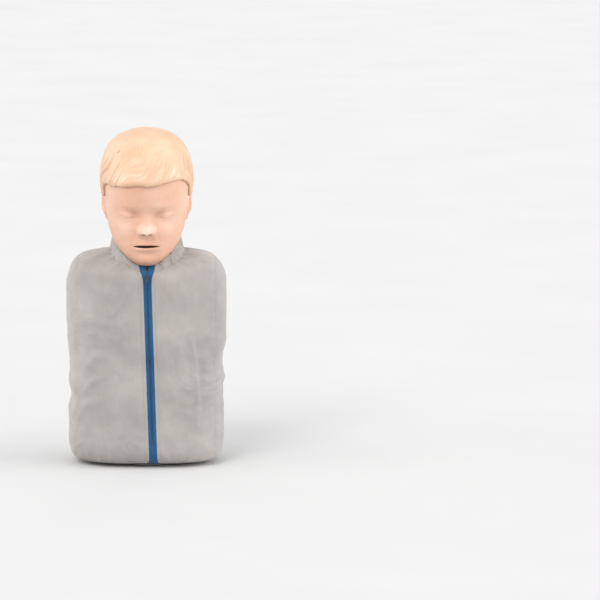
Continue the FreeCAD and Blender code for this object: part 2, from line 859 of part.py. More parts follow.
def zip_teeth(side):
    """One row of teeth, each half a pitch off the ones that it meets."""
    outer = tooth_face_y() - TOOTH_PROUD
    low = ZIP_STRAIGHT_FOOT_Z + STOP_LENGTH + 1
    high = ZIP_HEAD_Z - 1.5
    count = int((high - low) / TOOTH_PITCH)
    teeth = []
    for i in range(count):
        z = low + (i + (0.25 if side > 0 else 0.75)) * TOOTH_PITCH
        near = -0.5 if side > 0 else -TOOTH_HALF_WIDTH
        far = TOOTH_HALF_WIDTH if side > 0 else 0.5
        half = TOOTH_LENGTH / 2
        tooth = box(near, far, outer, tooth_face_y() - TOOTH_SINK, -half, half)
        teeth.append(along_zip(tooth, z))
    return Part.makeCompound(teeth)


def make_zip_stops():
    """The box at the foot of the zip."""
    outer = tooth_face_y() - TOOTH_PROUD
    half = STOP_HALF_WIDTH
    foot = box(-half, half, outer, tooth_face_y() - TOOTH_SINK, 0, STOP_LENGTH)
    return Part.makeCompound([along_zip(foot, ZIP_STRAIGHT_FOOT_Z)])


def make_zip_slider():
    """A body that runs over the teeth, with two flanges beside them and a loop for the pull."""
    teeth_top = tooth_face_y() - TOOTH_PROUD
    plate_inner = teeth_top - SLIDER_CLEARANCE
    plate_outer = plate_inner - SLIDER_PLATE
    half = SLIDER_WIDTH / 2
    top = SLIDER_LENGTH / 2
    outline = [
        (-half, top),
        (half, top),
        (half, 0),
        (0.68 * half, -top),
        (-0.68 * half, -top),
        (-half, 0),
    ]
    whole = prism_y(outline, plate_outer, tooth_face_y() - SLIDER_CLEARANCE)
    channel = TOOTH_HALF_WIDTH + SLIDER_CLEARANCE
    whole = whole.cut(box(-channel, channel, plate_inner, 0, -FAR, FAR))
    lugs = []
    for side in (-1, 1):
        near = PULL_WIDTH / 2 - LUG_WIDTH
        lug = box(
            -LUG_WIDTH / 2,
            LUG_WIDTH / 2,
            plate_outer - LUG_OUT,
            plate_outer,
            -LUG_HALF_HEIGHT,
            LUG_HALF_HEIGHT,
        )
        lug.translate(v(side * near, 0, PULL_PIN_UP))
        lugs.append(lug)
    whole = whole.fuse(lugs)
    reach = PULL_WIDTH / 2 - 1
    pin = cylinder_x(PULL_PIN_RADIUS, -reach, reach, plate_outer - PULL_PIN_OUT, PULL_PIN_UP)
    whole = whole.fuse(pin)
    return along_zip(whole, ZIP_HEAD_Z - top)


def make_zip_pull():
    """A flat tab that hangs from the slider's pin."""
    plate_outer = tooth_face_y() - TOOTH_PROUD - SLIDER_CLEARANCE - SLIDER_PLATE
    centre_y = plate_outer - PULL_PIN_OUT
    neck_half = PULL_WIDTH / 2 - 1.5 * LUG_WIDTH - 0.1
    foot = PULL_PIN_UP - PULL_LENGTH
    tab = box(
        -PULL_WIDTH / 2,
        PULL_WIDTH / 2,
        centre_y - PULL_THICK / 2,
        centre_y + PULL_THICK / 2,
        foot,
        -PULL_PIN_UP,
    )
    half = PULL_THICK / 2
    neck = box(-neck_half, neck_half, centre_y - half, centre_y + half, -1.5, PULL_PIN_UP)
    eye = cylinder_x(PULL_PIN_RADIUS + half, -neck_half, neck_half, centre_y, PULL_PIN_UP)
    tab = tab.fuse([neck, eye])
    tab = tab.cut(cylinder_x(PULL_PIN_RADIUS + PIN_CLEARANCE, -FAR, FAR, centre_y, PULL_PIN_UP))
    hole = cylinder_y(PULL_HOLE_RADIUS, -FAR, 0, 0, foot + 3.2)
    return along_zip(tab.cut(hole), ZIP_HEAD_Z - SLIDER_LENGTH / 2)


def chest_patch(outer, inner, half_width, half_height):
    """A piece that follows the inside of the chest, centred on the compression point."""
    layer = torso_layer(-outer, -inner)
    return layer.common(
        box(
            -half_width,
            half_width,
            -FAR,
            0,
            CHEST_CENTRE_Z - half_height,
            CHEST_CENTRE_Z + half_height,
        )
    )


def make_front_frame():
    """The stiff frame behind the skin, with a window for the plate and a notch for the airway."""
    outer = SHELL_WALL + LAYER_GAP
    frame = torso_layer(-outer, -outer - FRAME_WALL)
    low = TRAY_HEIGHT + RIM_GAP
    frame = frame.common(box(-FAR, FAR, -FAR, SKIN_SPLIT_Y - RIM_GAP, low, FAR))
    half_x = CHEST_PLATE_WIDTH / 2 + WINDOW_GAP
    half_z = CHEST_PLATE_HEIGHT / 2 + WINDOW_GAP
    frame = frame.cut(box(-half_x, half_x, -FAR, 0, CHEST_CENTRE_Z - half_z, CHEST_CENTRE_Z + half_z))
    notch = BAG_STRIP_WIDTH / 2 + WINDOW_GAP
    frame = frame.cut(box(-notch, notch, -FAR, 0, CHEST_CENTRE_Z, AIRWAY_FOOT_Z + AIRWAY_RADIUS + 6))
    frame = frame.cut(cylinder_z(NECK_FLANGE_RADIUS + 1, TORSO_TOP - NECK_HOLE_DEPTH, FAR, 0, PIVOT_Y))
    return frame.cut(clip_region(RIM_GAP))


def make_lung_bag():
    outer = SHELL_WALL + LAYER_GAP + 0.2
    bag = chest_patch(outer, outer + BAG_THICK, BAG_WIDTH / 2, BAG_HEIGHT / 2)
    strip = torso_layer(-outer, -outer - BAG_THICK)
    top = AIRWAY_FOOT_Z + AIRWAY_RADIUS + 4
    half = BAG_STRIP_WIDTH / 2
    strip = strip.common(box(-half, half, -FAR, 0, CHEST_CENTRE_Z, top))
    return bag.fuse(strip)


def plate_outer():
    return SHELL_WALL + LAYER_GAP + 0.2 + BAG_THICK + LAYER_GAP


def make_chest_plate():
    outer = plate_outer()
    inner = outer + CHEST_PLATE_THICK
    plate = chest_patch(outer, inner, CHEST_PLATE_WIDTH / 2, CHEST_PLATE_HEIGHT / 2)
    ribs = chest_patch(inner - 1, inner + CHEST_PLATE_RIB, CHEST_PLATE_WIDTH / 2, CHEST_PLATE_HEIGHT / 2)
    pattern = []
    for x in RIB_COLUMNS:
        pattern.append(box(x - RIB_HALF_WIDTH, x + RIB_HALF_WIDTH, -FAR, 0, 0, FAR))
    for offset in RIB_ROWS:
        z = CHEST_CENTRE_Z + offset
        pattern.append(box(-FAR, FAR, -FAR, 0, z - RIB_HALF_WIDTH, z + RIB_HALF_WIDTH))
    ribs = ribs.common(pattern[0].fuse(pattern[1:]))
    plate = plate.fuse(ribs)
    boss_front = -(CHEST_FRONT - inner + 1)
    boss_radius = PLUNGER_RADIUS - PLUNGER_WALL - SLIDE_CLEARANCE
    boss = cylinder_y(boss_radius, boss_front, boss_front + PLATE_BOSS_HEIGHT, 0, CHEST_CENTRE_Z)
    return plate.fuse(boss)


def plunger_front():
    return -(CHEST_FRONT - plate_outer() - CHEST_PLATE_THICK) + SLIDE_CLEARANCE


def make_plunger():
    front = plunger_front()
    tube = cylinder_y(PLUNGER_RADIUS, front, front + PLUNGER_LENGTH, 0, CHEST_CENTRE_Z)
    edge = SPRING_MEAN_RADIUS + SPRING_WIRE_RADIUS + 2
    flange = cylinder_y(edge, front, front + PLUNGER_FLANGE_THICK, 0, CHEST_CENTRE_Z)
    whole = tube.fuse(flange)
    whole = whole.cut(cylinder_y(PLUNGER_RADIUS - PLUNGER_WALL, -FAR, FAR, 0, CHEST_CENTRE_Z))
    return whole.common(torso_solid(-plate_outer() - CHEST_PLATE_THICK - SLIDE_CLEARANCE))


def guide_back():
    return BACK_DEPTH - SHELL_WALL - SEAT_HEIGHT - SLIDE_CLEARANCE


def make_spring_guide():
    back = guide_back()
    outer = PLUNGER_RADIUS + SLIDE_CLEARANCE + GUIDE_WALL
    tube = cylinder_y(outer, back - GUIDE_LENGTH, back, 0, CHEST_CENTRE_Z)
    flange = cylinder_y(GUIDE_FLANGE_RADIUS, back - GUIDE_FLANGE_THICK, back, 0, CHEST_CENTRE_Z)
    tube = tube.fuse(flange)
    bore = cylinder_y(PLUNGER_RADIUS + SLIDE_CLEARANCE, -FAR, back + 1, 0, CHEST_CENTRE_Z)
    return tube.cut(bore)


def make_spring():
    """A wire wound round the plunger's line, in short straight runs with a six-sided section."""
    start = plunger_front() + PLUNGER_FLANGE_THICK + SPRING_WIRE_RADIUS + 0.1
    end = guide_back() - GUIDE_FLANGE_THICK - SPRING_WIRE_RADIUS - 0.1
    steps = 14
    sections = []
    for i in range(SPRING_TURNS * steps + 1):
        turn_angle = 2 * math.pi * i / steps
        out = v(math.cos(turn_angle), 0, math.sin(turn_angle))
        y = start + (end - start) * i / (SPRING_TURNS * steps)
        centre = v(0, y, CHEST_CENTRE_Z) + out * SPRING_MEAN_RADIUS
        corners = []
        for angle in ring_angles(6, 0.0):
            across = out * (SPRING_WIRE_RADIUS * math.cos(angle))
            corners.append(centre + across + v(0, SPRING_WIRE_RADIUS * math.sin(angle), 0))
        sections.append(Part.makePolygon(corners + corners[:1]))
    return Part.makeLoft(sections, True, True)


def make_clicker_leaf():
    """A leaf on a foot beside the spring, which the plate's rib strikes at full depth."""
    back = guide_back()
    plate_back = -(CHEST_FRONT - plate_outer() - CHEST_PLATE_THICK - CHEST_PLATE_RIB)
    tip = plate_back + CHEST_TRAVEL + CLICKER_TIP_GAP
    half = CLICKER_WIDTH / 2
    low = CHEST_CENTRE_Z - half
    high = CHEST_CENTRE_Z + half
    leaf = box(CLICKER_X, CLICKER_X + CLICKER_THICK, tip, back, low, high)
    near = CLICKER_X - CLICKER_FOOT_NEAR
    far = CLICKER_X + CLICKER_FOOT_FAR
    foot = box(near, far, back - CLICKER_FOOT_THICK, back, low, high)
    return leaf.fuse(foot)


def make_neck_base():
    ring = cylinder_z(NECK_FLANGE_RADIUS, NECK_FOOT_Z, FAR, 0, PIVOT_Y)
    ring = ring.common(torso_solid(-SHELL_WALL - LAYER_GAP))
    ring = ring.cut(cylinder_z(NECK_TUBE_RADIUS + LAYER_GAP, 0, FAR, 0, PIVOT_Y))
    return ring.cut(neck_screw_shanks(NECK_SCREW_RADIUS + NECK_SCREW_GAP, NECK_SCREW_BITE + 1))


def neck_screw_places():
    radius = (NECK_TUBE_RADIUS + NECK_FLANGE_RADIUS) / 2
    angles = [math.radians(45 + 90 * i) for i in range(4)]
    return [(radius * math.cos(a), PIVOT_Y + radius * math.sin(a)) for a in angles]


def neck_screw_shanks(radius, depth):
    low = NECK_FOOT_Z - NECK_FLANGE_THICK - 1
    shanks = [cylinder_z(radius, low, NECK_FOOT_Z + depth, x, y) for x, y in neck_screw_places()]
    return shanks[0].fuse(shanks[1:])


def make_neck_screws():
    under = NECK_FOOT_Z - NECK_FLANGE_THICK
    screws = []
    for x, y in neck_screw_places():
        head = cylinder_z(NECK_SCREW_RADIUS * 2, under - NECK_SCREW_HEAD, under, x, y)
        top = NECK_FOOT_Z + NECK_SCREW_BITE
        screws.append(head.fuse(cylinder_z(NECK_SCREW_RADIUS, under, top, x, y)))
    return Part.makeCompound(screws)


def make_neck_column():
    under = NECK_FOOT_Z - NECK_FLANGE_THICK
    pivot = v(0, PIVOT_Y, PIVOT_Z)
    column = cylinder_z(NECK_TUBE_RADIUS, under, PIVOT_Z, 0, PIVOT_Y)
    flange = cylinder_z(NECK_FLANGE_RADIUS - 1, under, NECK_FOOT_Z, 0, PIVOT_Y)
    whole = Part.makeSphere(BALL_RADIUS, pivot).fuse([column, flange])
    inner = cylinder_z(NECK_TUBE_RADIUS - NECK_WALL, under - 1, PIVOT_Z, 0, PIVOT_Y)
    whole = whole.cut(Part.makeSphere(BALL_RADIUS - NECK_WALL, pivot).fuse(inner))
    barrel = cylinder_x(PIVOT_BOSS_RADIUS, -BALL_RADIUS, BALL_RADIUS, PIVOT_Y, PIVOT_Z)
    whole = whole.fuse(barrel.common(Part.makeSphere(BALL_RADIUS - NECK_WALL / 2, pivot)))
    whole = whole.cut(cylinder_x(PIVOT_PIN_RADIUS + PIN_CLEARANCE, -FAR, FAR, PIVOT_Y, PIVOT_Z))
    slot = AIRWAY_RADIUS + 2
    whole = whole.cut(
        box(-slot, slot, -FAR, PIVOT_Y - PIVOT_BOSS_RADIUS - 1, PIVOT_Z - 14, FAR)
    )
    return whole.cut(neck_screw_shanks(NECK_SCREW_RADIUS + NECK_SCREW_GAP, 1))


def make_neck_skin():
    sleeve = cylinder_z(NECK_RADIUS, TORSO_TOP + 1, PIVOT_Z, 0, PIVOT_Y)
    sleeve = sleeve.cut(cylinder_z(NECK_TUBE_RADIUS + LAYER_GAP, 0, FAR, 0, PIVOT_Y))
    return sleeve.cut(Part.makeSphere(BALL_RADIUS + LAYER_GAP, v(0, PIVOT_Y, PIVOT_Z)))


def make_pivot_pin():
    half = PIVOT_PIN_HALF
    return cylinder_x(PIVOT_PIN_RADIUS, -half, half, PIVOT_Y, PIVOT_Z)


def jaw_space(gap):
    """The region of the lower face that the jaw takes up, larger by gap."""
    back = JAW_BACK_Y + gap
    top = JAW_TOP_Z + gap
    return prism_x([(-FAR, -FAR), (back, -FAR), (back, top), (-FAR, top)], -FAR, FAR)


def jaw_sweep(gap):
    """The regions that the jaw passes through as it opens."""
    angles = [JAW_OPENING * step / JAW_STEPS for step in range(JAW_STEPS + 1)]
    return [turn(jaw_space(gap), angle, JAW_HINGE_Y, JAW_HINGE_Z) for angle in angles]


def skull_outer():
    return FACE_WALL + 0.4


def skull_inner():
    return skull_outer() + SKULL_WALL


def make_skull():
    outer = head_solid(-skull_outer(), False)
    inner = head_solid(-skull_inner(), False)
    shell = outer.cut(inner)
    core = head_solid(-skull_outer() - SKULL_WALL / 2, False)
    reach = HEAD_WIDTH / 2
    bosses = []
    for side in (-1, 1):
        near = min(side * (BALL_RADIUS + 1), side * reach)
        far = max(side * (BALL_RADIUS + 1), side * reach)
        bosses.append(cylinder_x(PIVOT_BOSS_RADIUS, near, far, PIVOT_IN_HEAD_Y, PIVOT_IN_HEAD_Z))
        near = min(side * (JAW_ARM_X + JAW_WALL + 0.4), side * reach)
        far = max(side * (JAW_ARM_X + JAW_WALL + 0.4), side * reach)
        bosses.append(cylinder_x(JAW_BOSS_RADIUS, near, far, JAW_HINGE_Y, JAW_HINGE_Z))
    shell = shell.cut(neck_sweep(NECK_RADIUS + 1.5, BALL_RADIUS + SOCKET_CLEARANCE))
    shell = shell.fuse([boss.common(core) for boss in bosses])
    half = PIVOT_PIN_HALF
    shell = shell.cut(cylinder_x(PIVOT_PIN_RADIUS, -half, half, PIVOT_IN_HEAD_Y, PIVOT_IN_HEAD_Z))
    shell = shell.cut(cylinder_x(JAW_PIN_RADIUS, -JAW_PIN_HALF, JAW_PIN_HALF, JAW_HINGE_Y, JAW_HINGE_Z))
    shell = shell.cut(jaw_sweep(JAW_SKULL_GAP))
    return shell.cut(mouthpiece_block(0.5))


def mouthpiece_block(gap):
    half = MOUTHPIECE_WIDTH / 2 + gap
    tall = MOUTHPIECE_HEIGHT / 2 + gap
    return box(-half, half, -FAR, MOUTHPIECE_BACK_Y + gap, MOUTH_Z - tall, MOUTH_Z + tall)


def make_mouthpiece():
    """A flat funnel behind the lips that narrows to a round socket for the airway tube."""
    block = mouthpiece_block(0).common(head_solid(-skull_outer(), False))
    wall = 2.0
    inner = box(
        -MOUTHPIECE_WIDTH / 2 + wall,
        MOUTHPIECE_WIDTH / 2 - wall,
        -FAR,
        MOUTHPIECE_BACK_Y - wall,
        MOUTH_Z - MOUTHPIECE_HEIGHT / 2 + wall,
        MOUTH_Z + MOUTHPIECE_HEIGHT / 2 - wall,
    )
    socket = cylinder_y(AIRWAY_RADIUS + wall, MOUTHPIECE_BACK_Y - 1, MOUTHPIECE_BACK_Y + 9, 0, MOUTH_Z)
    block = block.fuse(socket).cut(inner)
    return block.cut(cylinder_y(AIRWAY_RADIUS + PIN_CLEARANCE, MOUTHPIECE_BACK_Y - 3, FAR, 0, MOUTH_Z))


def lens_outline(width, height, sag):
    """A slit seen from the front: pointed ends, widest in the middle, its ends lower by sag."""
    top = []
    bottom = []
    steps = 12
    for i in range(steps + 1):
        t = -1 + 2 * i / steps
        x = t * width / 2
        middle = MOUTH_Z - sag * t * t
        open_half = height / 2 * (1 - abs(t) ** 2.6)
        top.append((x, middle + open_half))
        if 0 < i < steps:
            bottom.append((x, middle - open_half))
    return top + bottom[::-1]


def make_ears():
    ears = []
    for side in (-1, 1):
        ear = ellipsoid(v(0, 0, 0), EAR_THICK / 2, EAR_LENGTH / 2, EAR_HEIGHT / 2)
        ear.rotate(v(0, 0, 0), v(1, 0, 0), EAR_LEAN_DEG)
        ear.rotate(v(0, 0, 0), v(0, 0, 1), side * EAR_FLARE_DEG)
        ear.translate(v(side * (0.95 * HEAD_WIDTH / 2 + EAR_OUT), EAR_Y, EAR_Z))
        hollow = ellipsoid(v(0, 0, 0), EAR_THICK / 3, EAR_LENGTH / 5, EAR_HEIGHT / 4)
        hollow.translate(v(side * (0.95 * HEAD_WIDTH / 2 + EAR_OUT + EAR_THICK / 2), EAR_Y - 1, EAR_Z + 2))
        ears.append(ear.cut(hollow))
    return ears


def make_face_skin():
    layer = head_solid(0).cut(head_solid(-FACE_WALL))
    layer = layer.cut(neck_sweep(NECK_RADIUS + 1.0, BALL_RADIUS + 0.8))
    ears = [ear.cut(head_solid(-FACE_WALL / 2)) for ear in make_ears()]
    layer = layer.fuse(ears)
    layer = layer.cut(hair_region(0))
    layer = layer.cut(prism_y(lens_outline(MOUTH_WIDTH, MOUTH_HEIGHT, 0.6), -FAR, -40))
    for side in (-1, 1):
        nostril = cylinder_z(NOSTRIL_RADIUS, -16, 9, 0, 0)
        nostril.rotate(v(0, 0, 0), v(1, 0, 0), -NOSTRIL_TILT_DEG)
        nostril.translate(v(side * NOSTRIL_X, -HEAD_FRONT - 3.5, NOSTRIL_Z))
        layer = layer.cut(nostril)
    return max(layer.Solids, key=lambda solid: solid.Volume)


def make_hair_cap():
    layer = head_solid(HAIR_THICK, True, HAIR_TOP_EXTRA).cut(head_solid(-FACE_WALL))
    layer = layer.common(hair_region(RIM_GAP))
    layer = layer.cut(neck_sweep(NECK_RADIUS + 1.5, BALL_RADIUS + 1.5))
    for ear in make_ears():
        layer = layer.cut(ear)
    return max(layer.Solids, key=lambda solid: solid.Volume)


def make_jaw():
    """The lower face's carrier: a shell behind the chin, and two arms up to its hinge pins."""
    outer = head_solid(-skull_outer(), False)
    inner = head_solid(-skull_outer() - JAW_WALL, False)
    whole = outer.cut(inner).common(jaw_space(0))
    whole = whole.cut(neck_sweep(NECK_RADIUS + 12, BALL_RADIUS + 8))
    low = prism_x([(-44, 14), (-22, 26), (JAW_BACK_Y, JAW_TOP_Z), (-50, JAW_TOP_Z)], JAW_ARM_X, FAR)
    low = low.common(head_solid(-skull_outer() - JAW_WALL / 2, False))
    high = prism_x(
        [
            (-50, JAW_TOP_Z - 1),
            (JAW_BACK_Y, JAW_TOP_Z - 1),
            (JAW_HINGE_Y + JAW_BOSS_RADIUS, JAW_HINGE_Z),
            (JAW_HINGE_Y, JAW_HINGE_Z + JAW_BOSS_RADIUS),
            (JAW_HINGE_Y - JAW_BOSS_RADIUS, JAW_HINGE_Z),
        ],
        JAW_ARM_X,
        JAW_ARM_X + JAW_WALL,
    )
    high = high.common(head_solid(-skull_inner() - 0.8, False))
    arm = low.fuse(high)
    other = arm.mirror(v(0, 0, 0), v(1, 0, 0))
    whole = whole.fuse([arm, other])
    hinge = cylinder_x(JAW_PIN_RADIUS + PIN_CLEARANCE, -FAR, FAR, JAW_HINGE_Y, JAW_HINGE_Z)
    return whole.cut(hinge)


def make_jaw_pins():
    pins = []
    for side in (-1, 1):
        near = min(side * (JAW_ARM_X - 1), side * JAW_PIN_HALF)
        far = max(side * (JAW_ARM_X - 1), side * JAW_PIN_HALF)
        pins.append(cylinder_x(JAW_PIN_RADIUS, near, far, JAW_HINGE_Y, JAW_HINGE_Z))
    return Part.makeCompound(pins)


def rounded_path(points, radii):
    """Straight runs through points in the plane x = 0, joined by tangent arcs."""
    edges = []
    at = points[0]
    for i in range(1, len(points) - 1):
        corner = points[i]
        back = (points[i - 1] - corner).normalize()
        ahead = (points[i + 1] - corner).normalize()
        half_angle = back.getAngle(ahead) / 2
        cut = radii[i - 1] / math.tan(half_angle)
        start = corner + back * cut
        end = corner + ahead * cut
        middle_way = (back + ahead).normalize()
        middle = corner + middle_way * (radii[i - 1] / math.sin(half_angle) - radii[i - 1])
        edges.append(Part.LineSegment(at, start).toShape())
        edges.append(Part.Arc(start, middle, end).toShape())
        at = end
    edges.append(Part.LineSegment(at, points[-1]).toShape())
    return Part.Wire(edges)


def make_airway_tube():
    """From the mouthpiece back into the neck, down in front of the pivot, and forward to the bag."""
    mouth = placed_point(MOUTHPIECE_BACK_Y - 1.5, MOUTH_Z)
    nod = math.radians(HEAD_NOD_DEG)
    down_y = PIVOT_Y - PIVOT_BOSS_RADIUS - AIRWAY_RADIUS - 2
    reach = (down_y - mouth.y) / math.cos(nod)
    upper = v(0, down_y, mouth.z + reach * math.sin(nod))
    lower = v(0, down_y, AIRWAY_FOOT_Z)
    bag_y = -(CHEST_FRONT - SHELL_WALL - LAYER_GAP - 0.2 - BAG_THICK) + 0.6
    end = v(0, bag_y, AIRWAY_FOOT_Z)
    path = rounded_path([mouth, upper, lower, end], [13.0, 20.0])
    along = (upper - mouth).normalize()
    tubes = []
    for radius in (AIRWAY_RADIUS, AIRWAY_RADIUS - 1.5):
        ring = Part.Wire([Part.makeCircle(radius, mouth, along)])
        tubes.append(path.makePipeShell([ring], True, False))
    return tubes[0].cut(tubes[1])


# Sensor module


def module_low():
    return BASE_WALL + 0.1


def make_sensor_housing():
    half = MODULE_WIDTH / 2
    front = MODULE_Y - MODULE_DEPTH / 2
    back = MODULE_Y + MODULE_DEPTH / 2
    low = module_low()
    top = low + MODULE_HEIGHT
    wall = MODULE_WALL
    whole = box(-half, half, front, back, low, top)
    whole = whole.cut(box(-half + wall, half - wall, front + wall, back - wall, low - 1, top + 1))
    shelf_top = BOARD_Z - SOLDER_SINK
    split = BUTTON_X - 14
    shelf = box(-half, split, front, back, shelf_top - SHELF_THICK, shelf_top)
    partition = box(split - wall / 2, split + wall / 2, front, back, low, shelf_top)
    return whole.fuse([shelf, partition])


def make_sensor_cover():
    half = MODULE_WIDTH / 2
    front = MODULE_Y - MODULE_DEPTH / 2
    back = MODULE_Y + MODULE_DEPTH / 2
    top = module_low() + MODULE_HEIGHT
    inset = MODULE_WALL + 0.1
    lid = box(-half, half, front, back, top + LID_GAP, top + LID_GAP + LID_THICK)
    lip = box(-half + inset, half - inset, front + inset, back - inset, top - LID_LIP, top + 1)
    return lid.fuse(lip)


def make_circuit_board():
    half = MODULE_WIDTH / 2 - MODULE_WALL - BOARD_GAP
    depth = MODULE_DEPTH / 2 - MODULE_WALL - BOARD_GAP
    top = BOARD_Z + BOARD_THICK
    foot = top - SOLDER_SINK
    board = box(-half, half, MODULE_Y - depth, MODULE_Y + depth, BOARD_Z, top)
    chip = box(-20, -8, MODULE_Y - 6, MODULE_Y + 6, foot, top + CHIP_HEIGHT)
    radio = box(18, 32, MODULE_Y - 9, MODULE_Y + 2, foot, top + RADIO_HEIGHT)
    return board.fuse([chip, radio])


def battery_z():
    return DOOR_RECESS + DOOR_THICK + BATTERY_DOOR_GAP + BATTERY_RADIUS


def make_batteries():
    z = battery_z()
    half = BATTERY_LENGTH / 2
    cells = []
    shoulder = DOOR_X + half - BATTERY_TIP_LENGTH
    for offset in (-BATTERY_RADIUS - 0.2, BATTERY_RADIUS + 0.2):
        cell = cylinder_x(BATTERY_RADIUS, DOOR_X - half, shoulder, MODULE_Y + offset, z)
        tip = cylinder_x(BATTERY_TIP_RADIUS, shoulder - 0.1, DOOR_X + half, MODULE_Y + offset, z)
        cells.append(cell.fuse(tip))
    return Part.makeCompound(cells)


def make_battery_contacts():
    z = battery_z()
    half = BATTERY_LENGTH / 2 + 0.05
    plates = []
    front = MODULE_Y - CONTACT_HALF_WIDTH
    back = MODULE_Y + CONTACT_HALF_WIDTH
    top = BOARD_Z - SHELF_THICK - 2 * SOLDER_SINK
    for x in (DOOR_X - half - CONTACT_THICK, DOOR_X + half):
        plates.append(box(x, x + CONTACT_THICK, front, back, z - 6, top))
    return Part.makeCompound(plates)


def door_hinge_y():
    return MODULE_Y + DOOR_DEPTH / 2 - DOOR_BARREL_RADIUS


def make_battery_door():
    """A flat door with a barrel and two stubs at its back edge, and a finger notch at its front."""
    half = DOOR_WIDTH / 2
    front = MODULE_Y - DOOR_DEPTH / 2
    leaf = box(DOOR_X - half, DOOR_X + half, front, door_hinge_y(), DOOR_RECESS, DOOR_RECESS + DOOR_THICK)
    barrel = cylinder_x(DOOR_BARREL_RADIUS, DOOR_X - half, DOOR_X + half, door_hinge_y(), DOOR_HINGE_Z)
    stubs = cylinder_x(
        DOOR_PIN_RADIUS,
        DOOR_X - half - DOOR_STUB,
        DOOR_X + half + DOOR_STUB,
        door_hinge_y(),
        DOOR_HINGE_Z,
    )
    notch = cylinder_z(FINGER_NOTCH_RADIUS, -1, DOOR_RECESS + DOOR_THICK / 2, DOOR_X, front - 1)
    return leaf.fuse([barrel, stubs]).cut(notch)


def make_power_button():
    cap = cylinder_z(BUTTON_RADIUS, BUTTON_RECESS, BASE_WALL + 1, BUTTON_X, MODULE_Y)
    flange = cylinder_z(
        BUTTON_RADIUS + BUTTON_FLANGE,
        BASE_WALL + 0.1,
        BASE_WALL + BUTTON_FLANGE + 0.1,
        BUTTON_X,
        MODULE_Y,
    )
    return cap.fuse(flange)


def make_power_switch():
    half = SWITCH_HALF_WIDTH
    body = box(
        BUTTON_X - half,
        BUTTON_X + half,
        MODULE_Y - half,
        MODULE_Y + half,
        BOARD_Z - 6,
        BOARD_Z - SOLDER_SINK / 2,
    )
    low = BASE_WALL + BUTTON_FLANGE + 0.1 + BUTTON_TRAVEL + 0.2
    return body.fuse(cylinder_z(SWITCH_STEM_RADIUS, low, BOARD_Z - 5, BUTTON_X, MODULE_Y))


def make_light_pipe():
    rod = cylinder_z(LAMP_RADIUS, DOOR_RECESS, BOARD_Z - 0.1, LAMP_X, MODULE_Y)
    return rod.fuse(cylinder_z(LAMP_RADIUS + 1.2, BASE_WALL + 0.05, BASE_WALL + 1.5, LAMP_X, MODULE_Y))


def build():
    nodes = {
        "back_shell": make_back_shell(),
        "chest_skin": make_chest_skin(),
        "front_frame": make_front_frame(),
        "lower_clip": make_lower_clip(),
        "collar": make_collar(),
        "hem_band": make_hem(),
        "zip_tape_right": zip_tape(-1),
        "zip_tape_left": zip_tape(1),
        "zip_teeth_right": zip_teeth(-1),
        "zip_teeth_left": zip_teeth(1),
        "zip_stop": make_zip_stops(),
        "zip_slider": make_zip_slider(),
        "zip_pull": make_zip_pull(),
        "lung_bag": make_lung_bag(),
        "chest_plate": make_chest_plate(),
        "plunger": make_plunger(),
        "spring_guide": make_spring_guide(),
        "compression_spring": make_spring(),
        "clicker_leaf": make_clicker_leaf(),
        "neck_base": make_neck_base(),
        "neck_screws": make_neck_screws(),
        "neck_column": make_neck_column(),
        "neck_skin": make_neck_skin(),
        "pivot_pin": make_pivot_pin(),
        "airway_tube": make_airway_tube(),
        "sensor_housing": make_sensor_housing(),
        "sensor_cover": make_sensor_cover(),
        "circuit_board": make_circuit_board(),
        "batteries": make_batteries(),
        "battery_contacts": make_battery_contacts(),
        "battery_door": make_battery_door(),
        "power_button": make_power_button(),
        "power_switch": make_power_switch(),
        "light_pipe": make_light_pipe(),
        "skull": place_head(make_skull()),
        "face_skin": place_head(make_face_skin()),
        "hair_cap": place_head(make_hair_cap()),
        "mouthpiece": place_head(make_mouthpiece()),
        "jaw": place_head(make_jaw()),
        "jaw_pins": place_head(make_jaw_pins()),
    }
    nodes.update(jacket_pieces())
    return nodes


os.makedirs("parts", exist_ok=True)
for name, shape in build().items():
    shape.exportStep("parts/" + name + ".step")
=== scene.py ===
"""Scene of the training manikin: a sewn jacket, a vinyl head and a zip over the rigid frame."""

import math

import bmesh
import bpy
import numpy as np
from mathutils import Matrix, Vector
from mathutils.bvhtree import BVHTree


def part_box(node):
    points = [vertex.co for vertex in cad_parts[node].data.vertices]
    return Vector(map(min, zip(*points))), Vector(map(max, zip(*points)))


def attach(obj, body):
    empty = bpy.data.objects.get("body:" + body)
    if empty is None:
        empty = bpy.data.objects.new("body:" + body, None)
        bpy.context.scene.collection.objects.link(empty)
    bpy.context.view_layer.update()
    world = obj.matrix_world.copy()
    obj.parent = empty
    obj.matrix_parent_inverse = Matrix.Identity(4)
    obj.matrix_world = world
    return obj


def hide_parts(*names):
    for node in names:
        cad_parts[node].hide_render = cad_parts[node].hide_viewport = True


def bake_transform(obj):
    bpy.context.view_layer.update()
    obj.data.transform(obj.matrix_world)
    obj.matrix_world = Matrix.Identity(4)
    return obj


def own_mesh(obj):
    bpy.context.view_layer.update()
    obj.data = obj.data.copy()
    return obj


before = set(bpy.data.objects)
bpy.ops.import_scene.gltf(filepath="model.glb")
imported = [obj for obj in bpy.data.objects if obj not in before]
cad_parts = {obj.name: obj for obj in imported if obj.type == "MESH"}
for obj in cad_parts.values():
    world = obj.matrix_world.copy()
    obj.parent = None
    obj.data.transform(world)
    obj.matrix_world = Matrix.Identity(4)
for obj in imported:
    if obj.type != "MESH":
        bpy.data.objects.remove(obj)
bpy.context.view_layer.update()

SIDES = ((-1, "right"), (1, "left"))

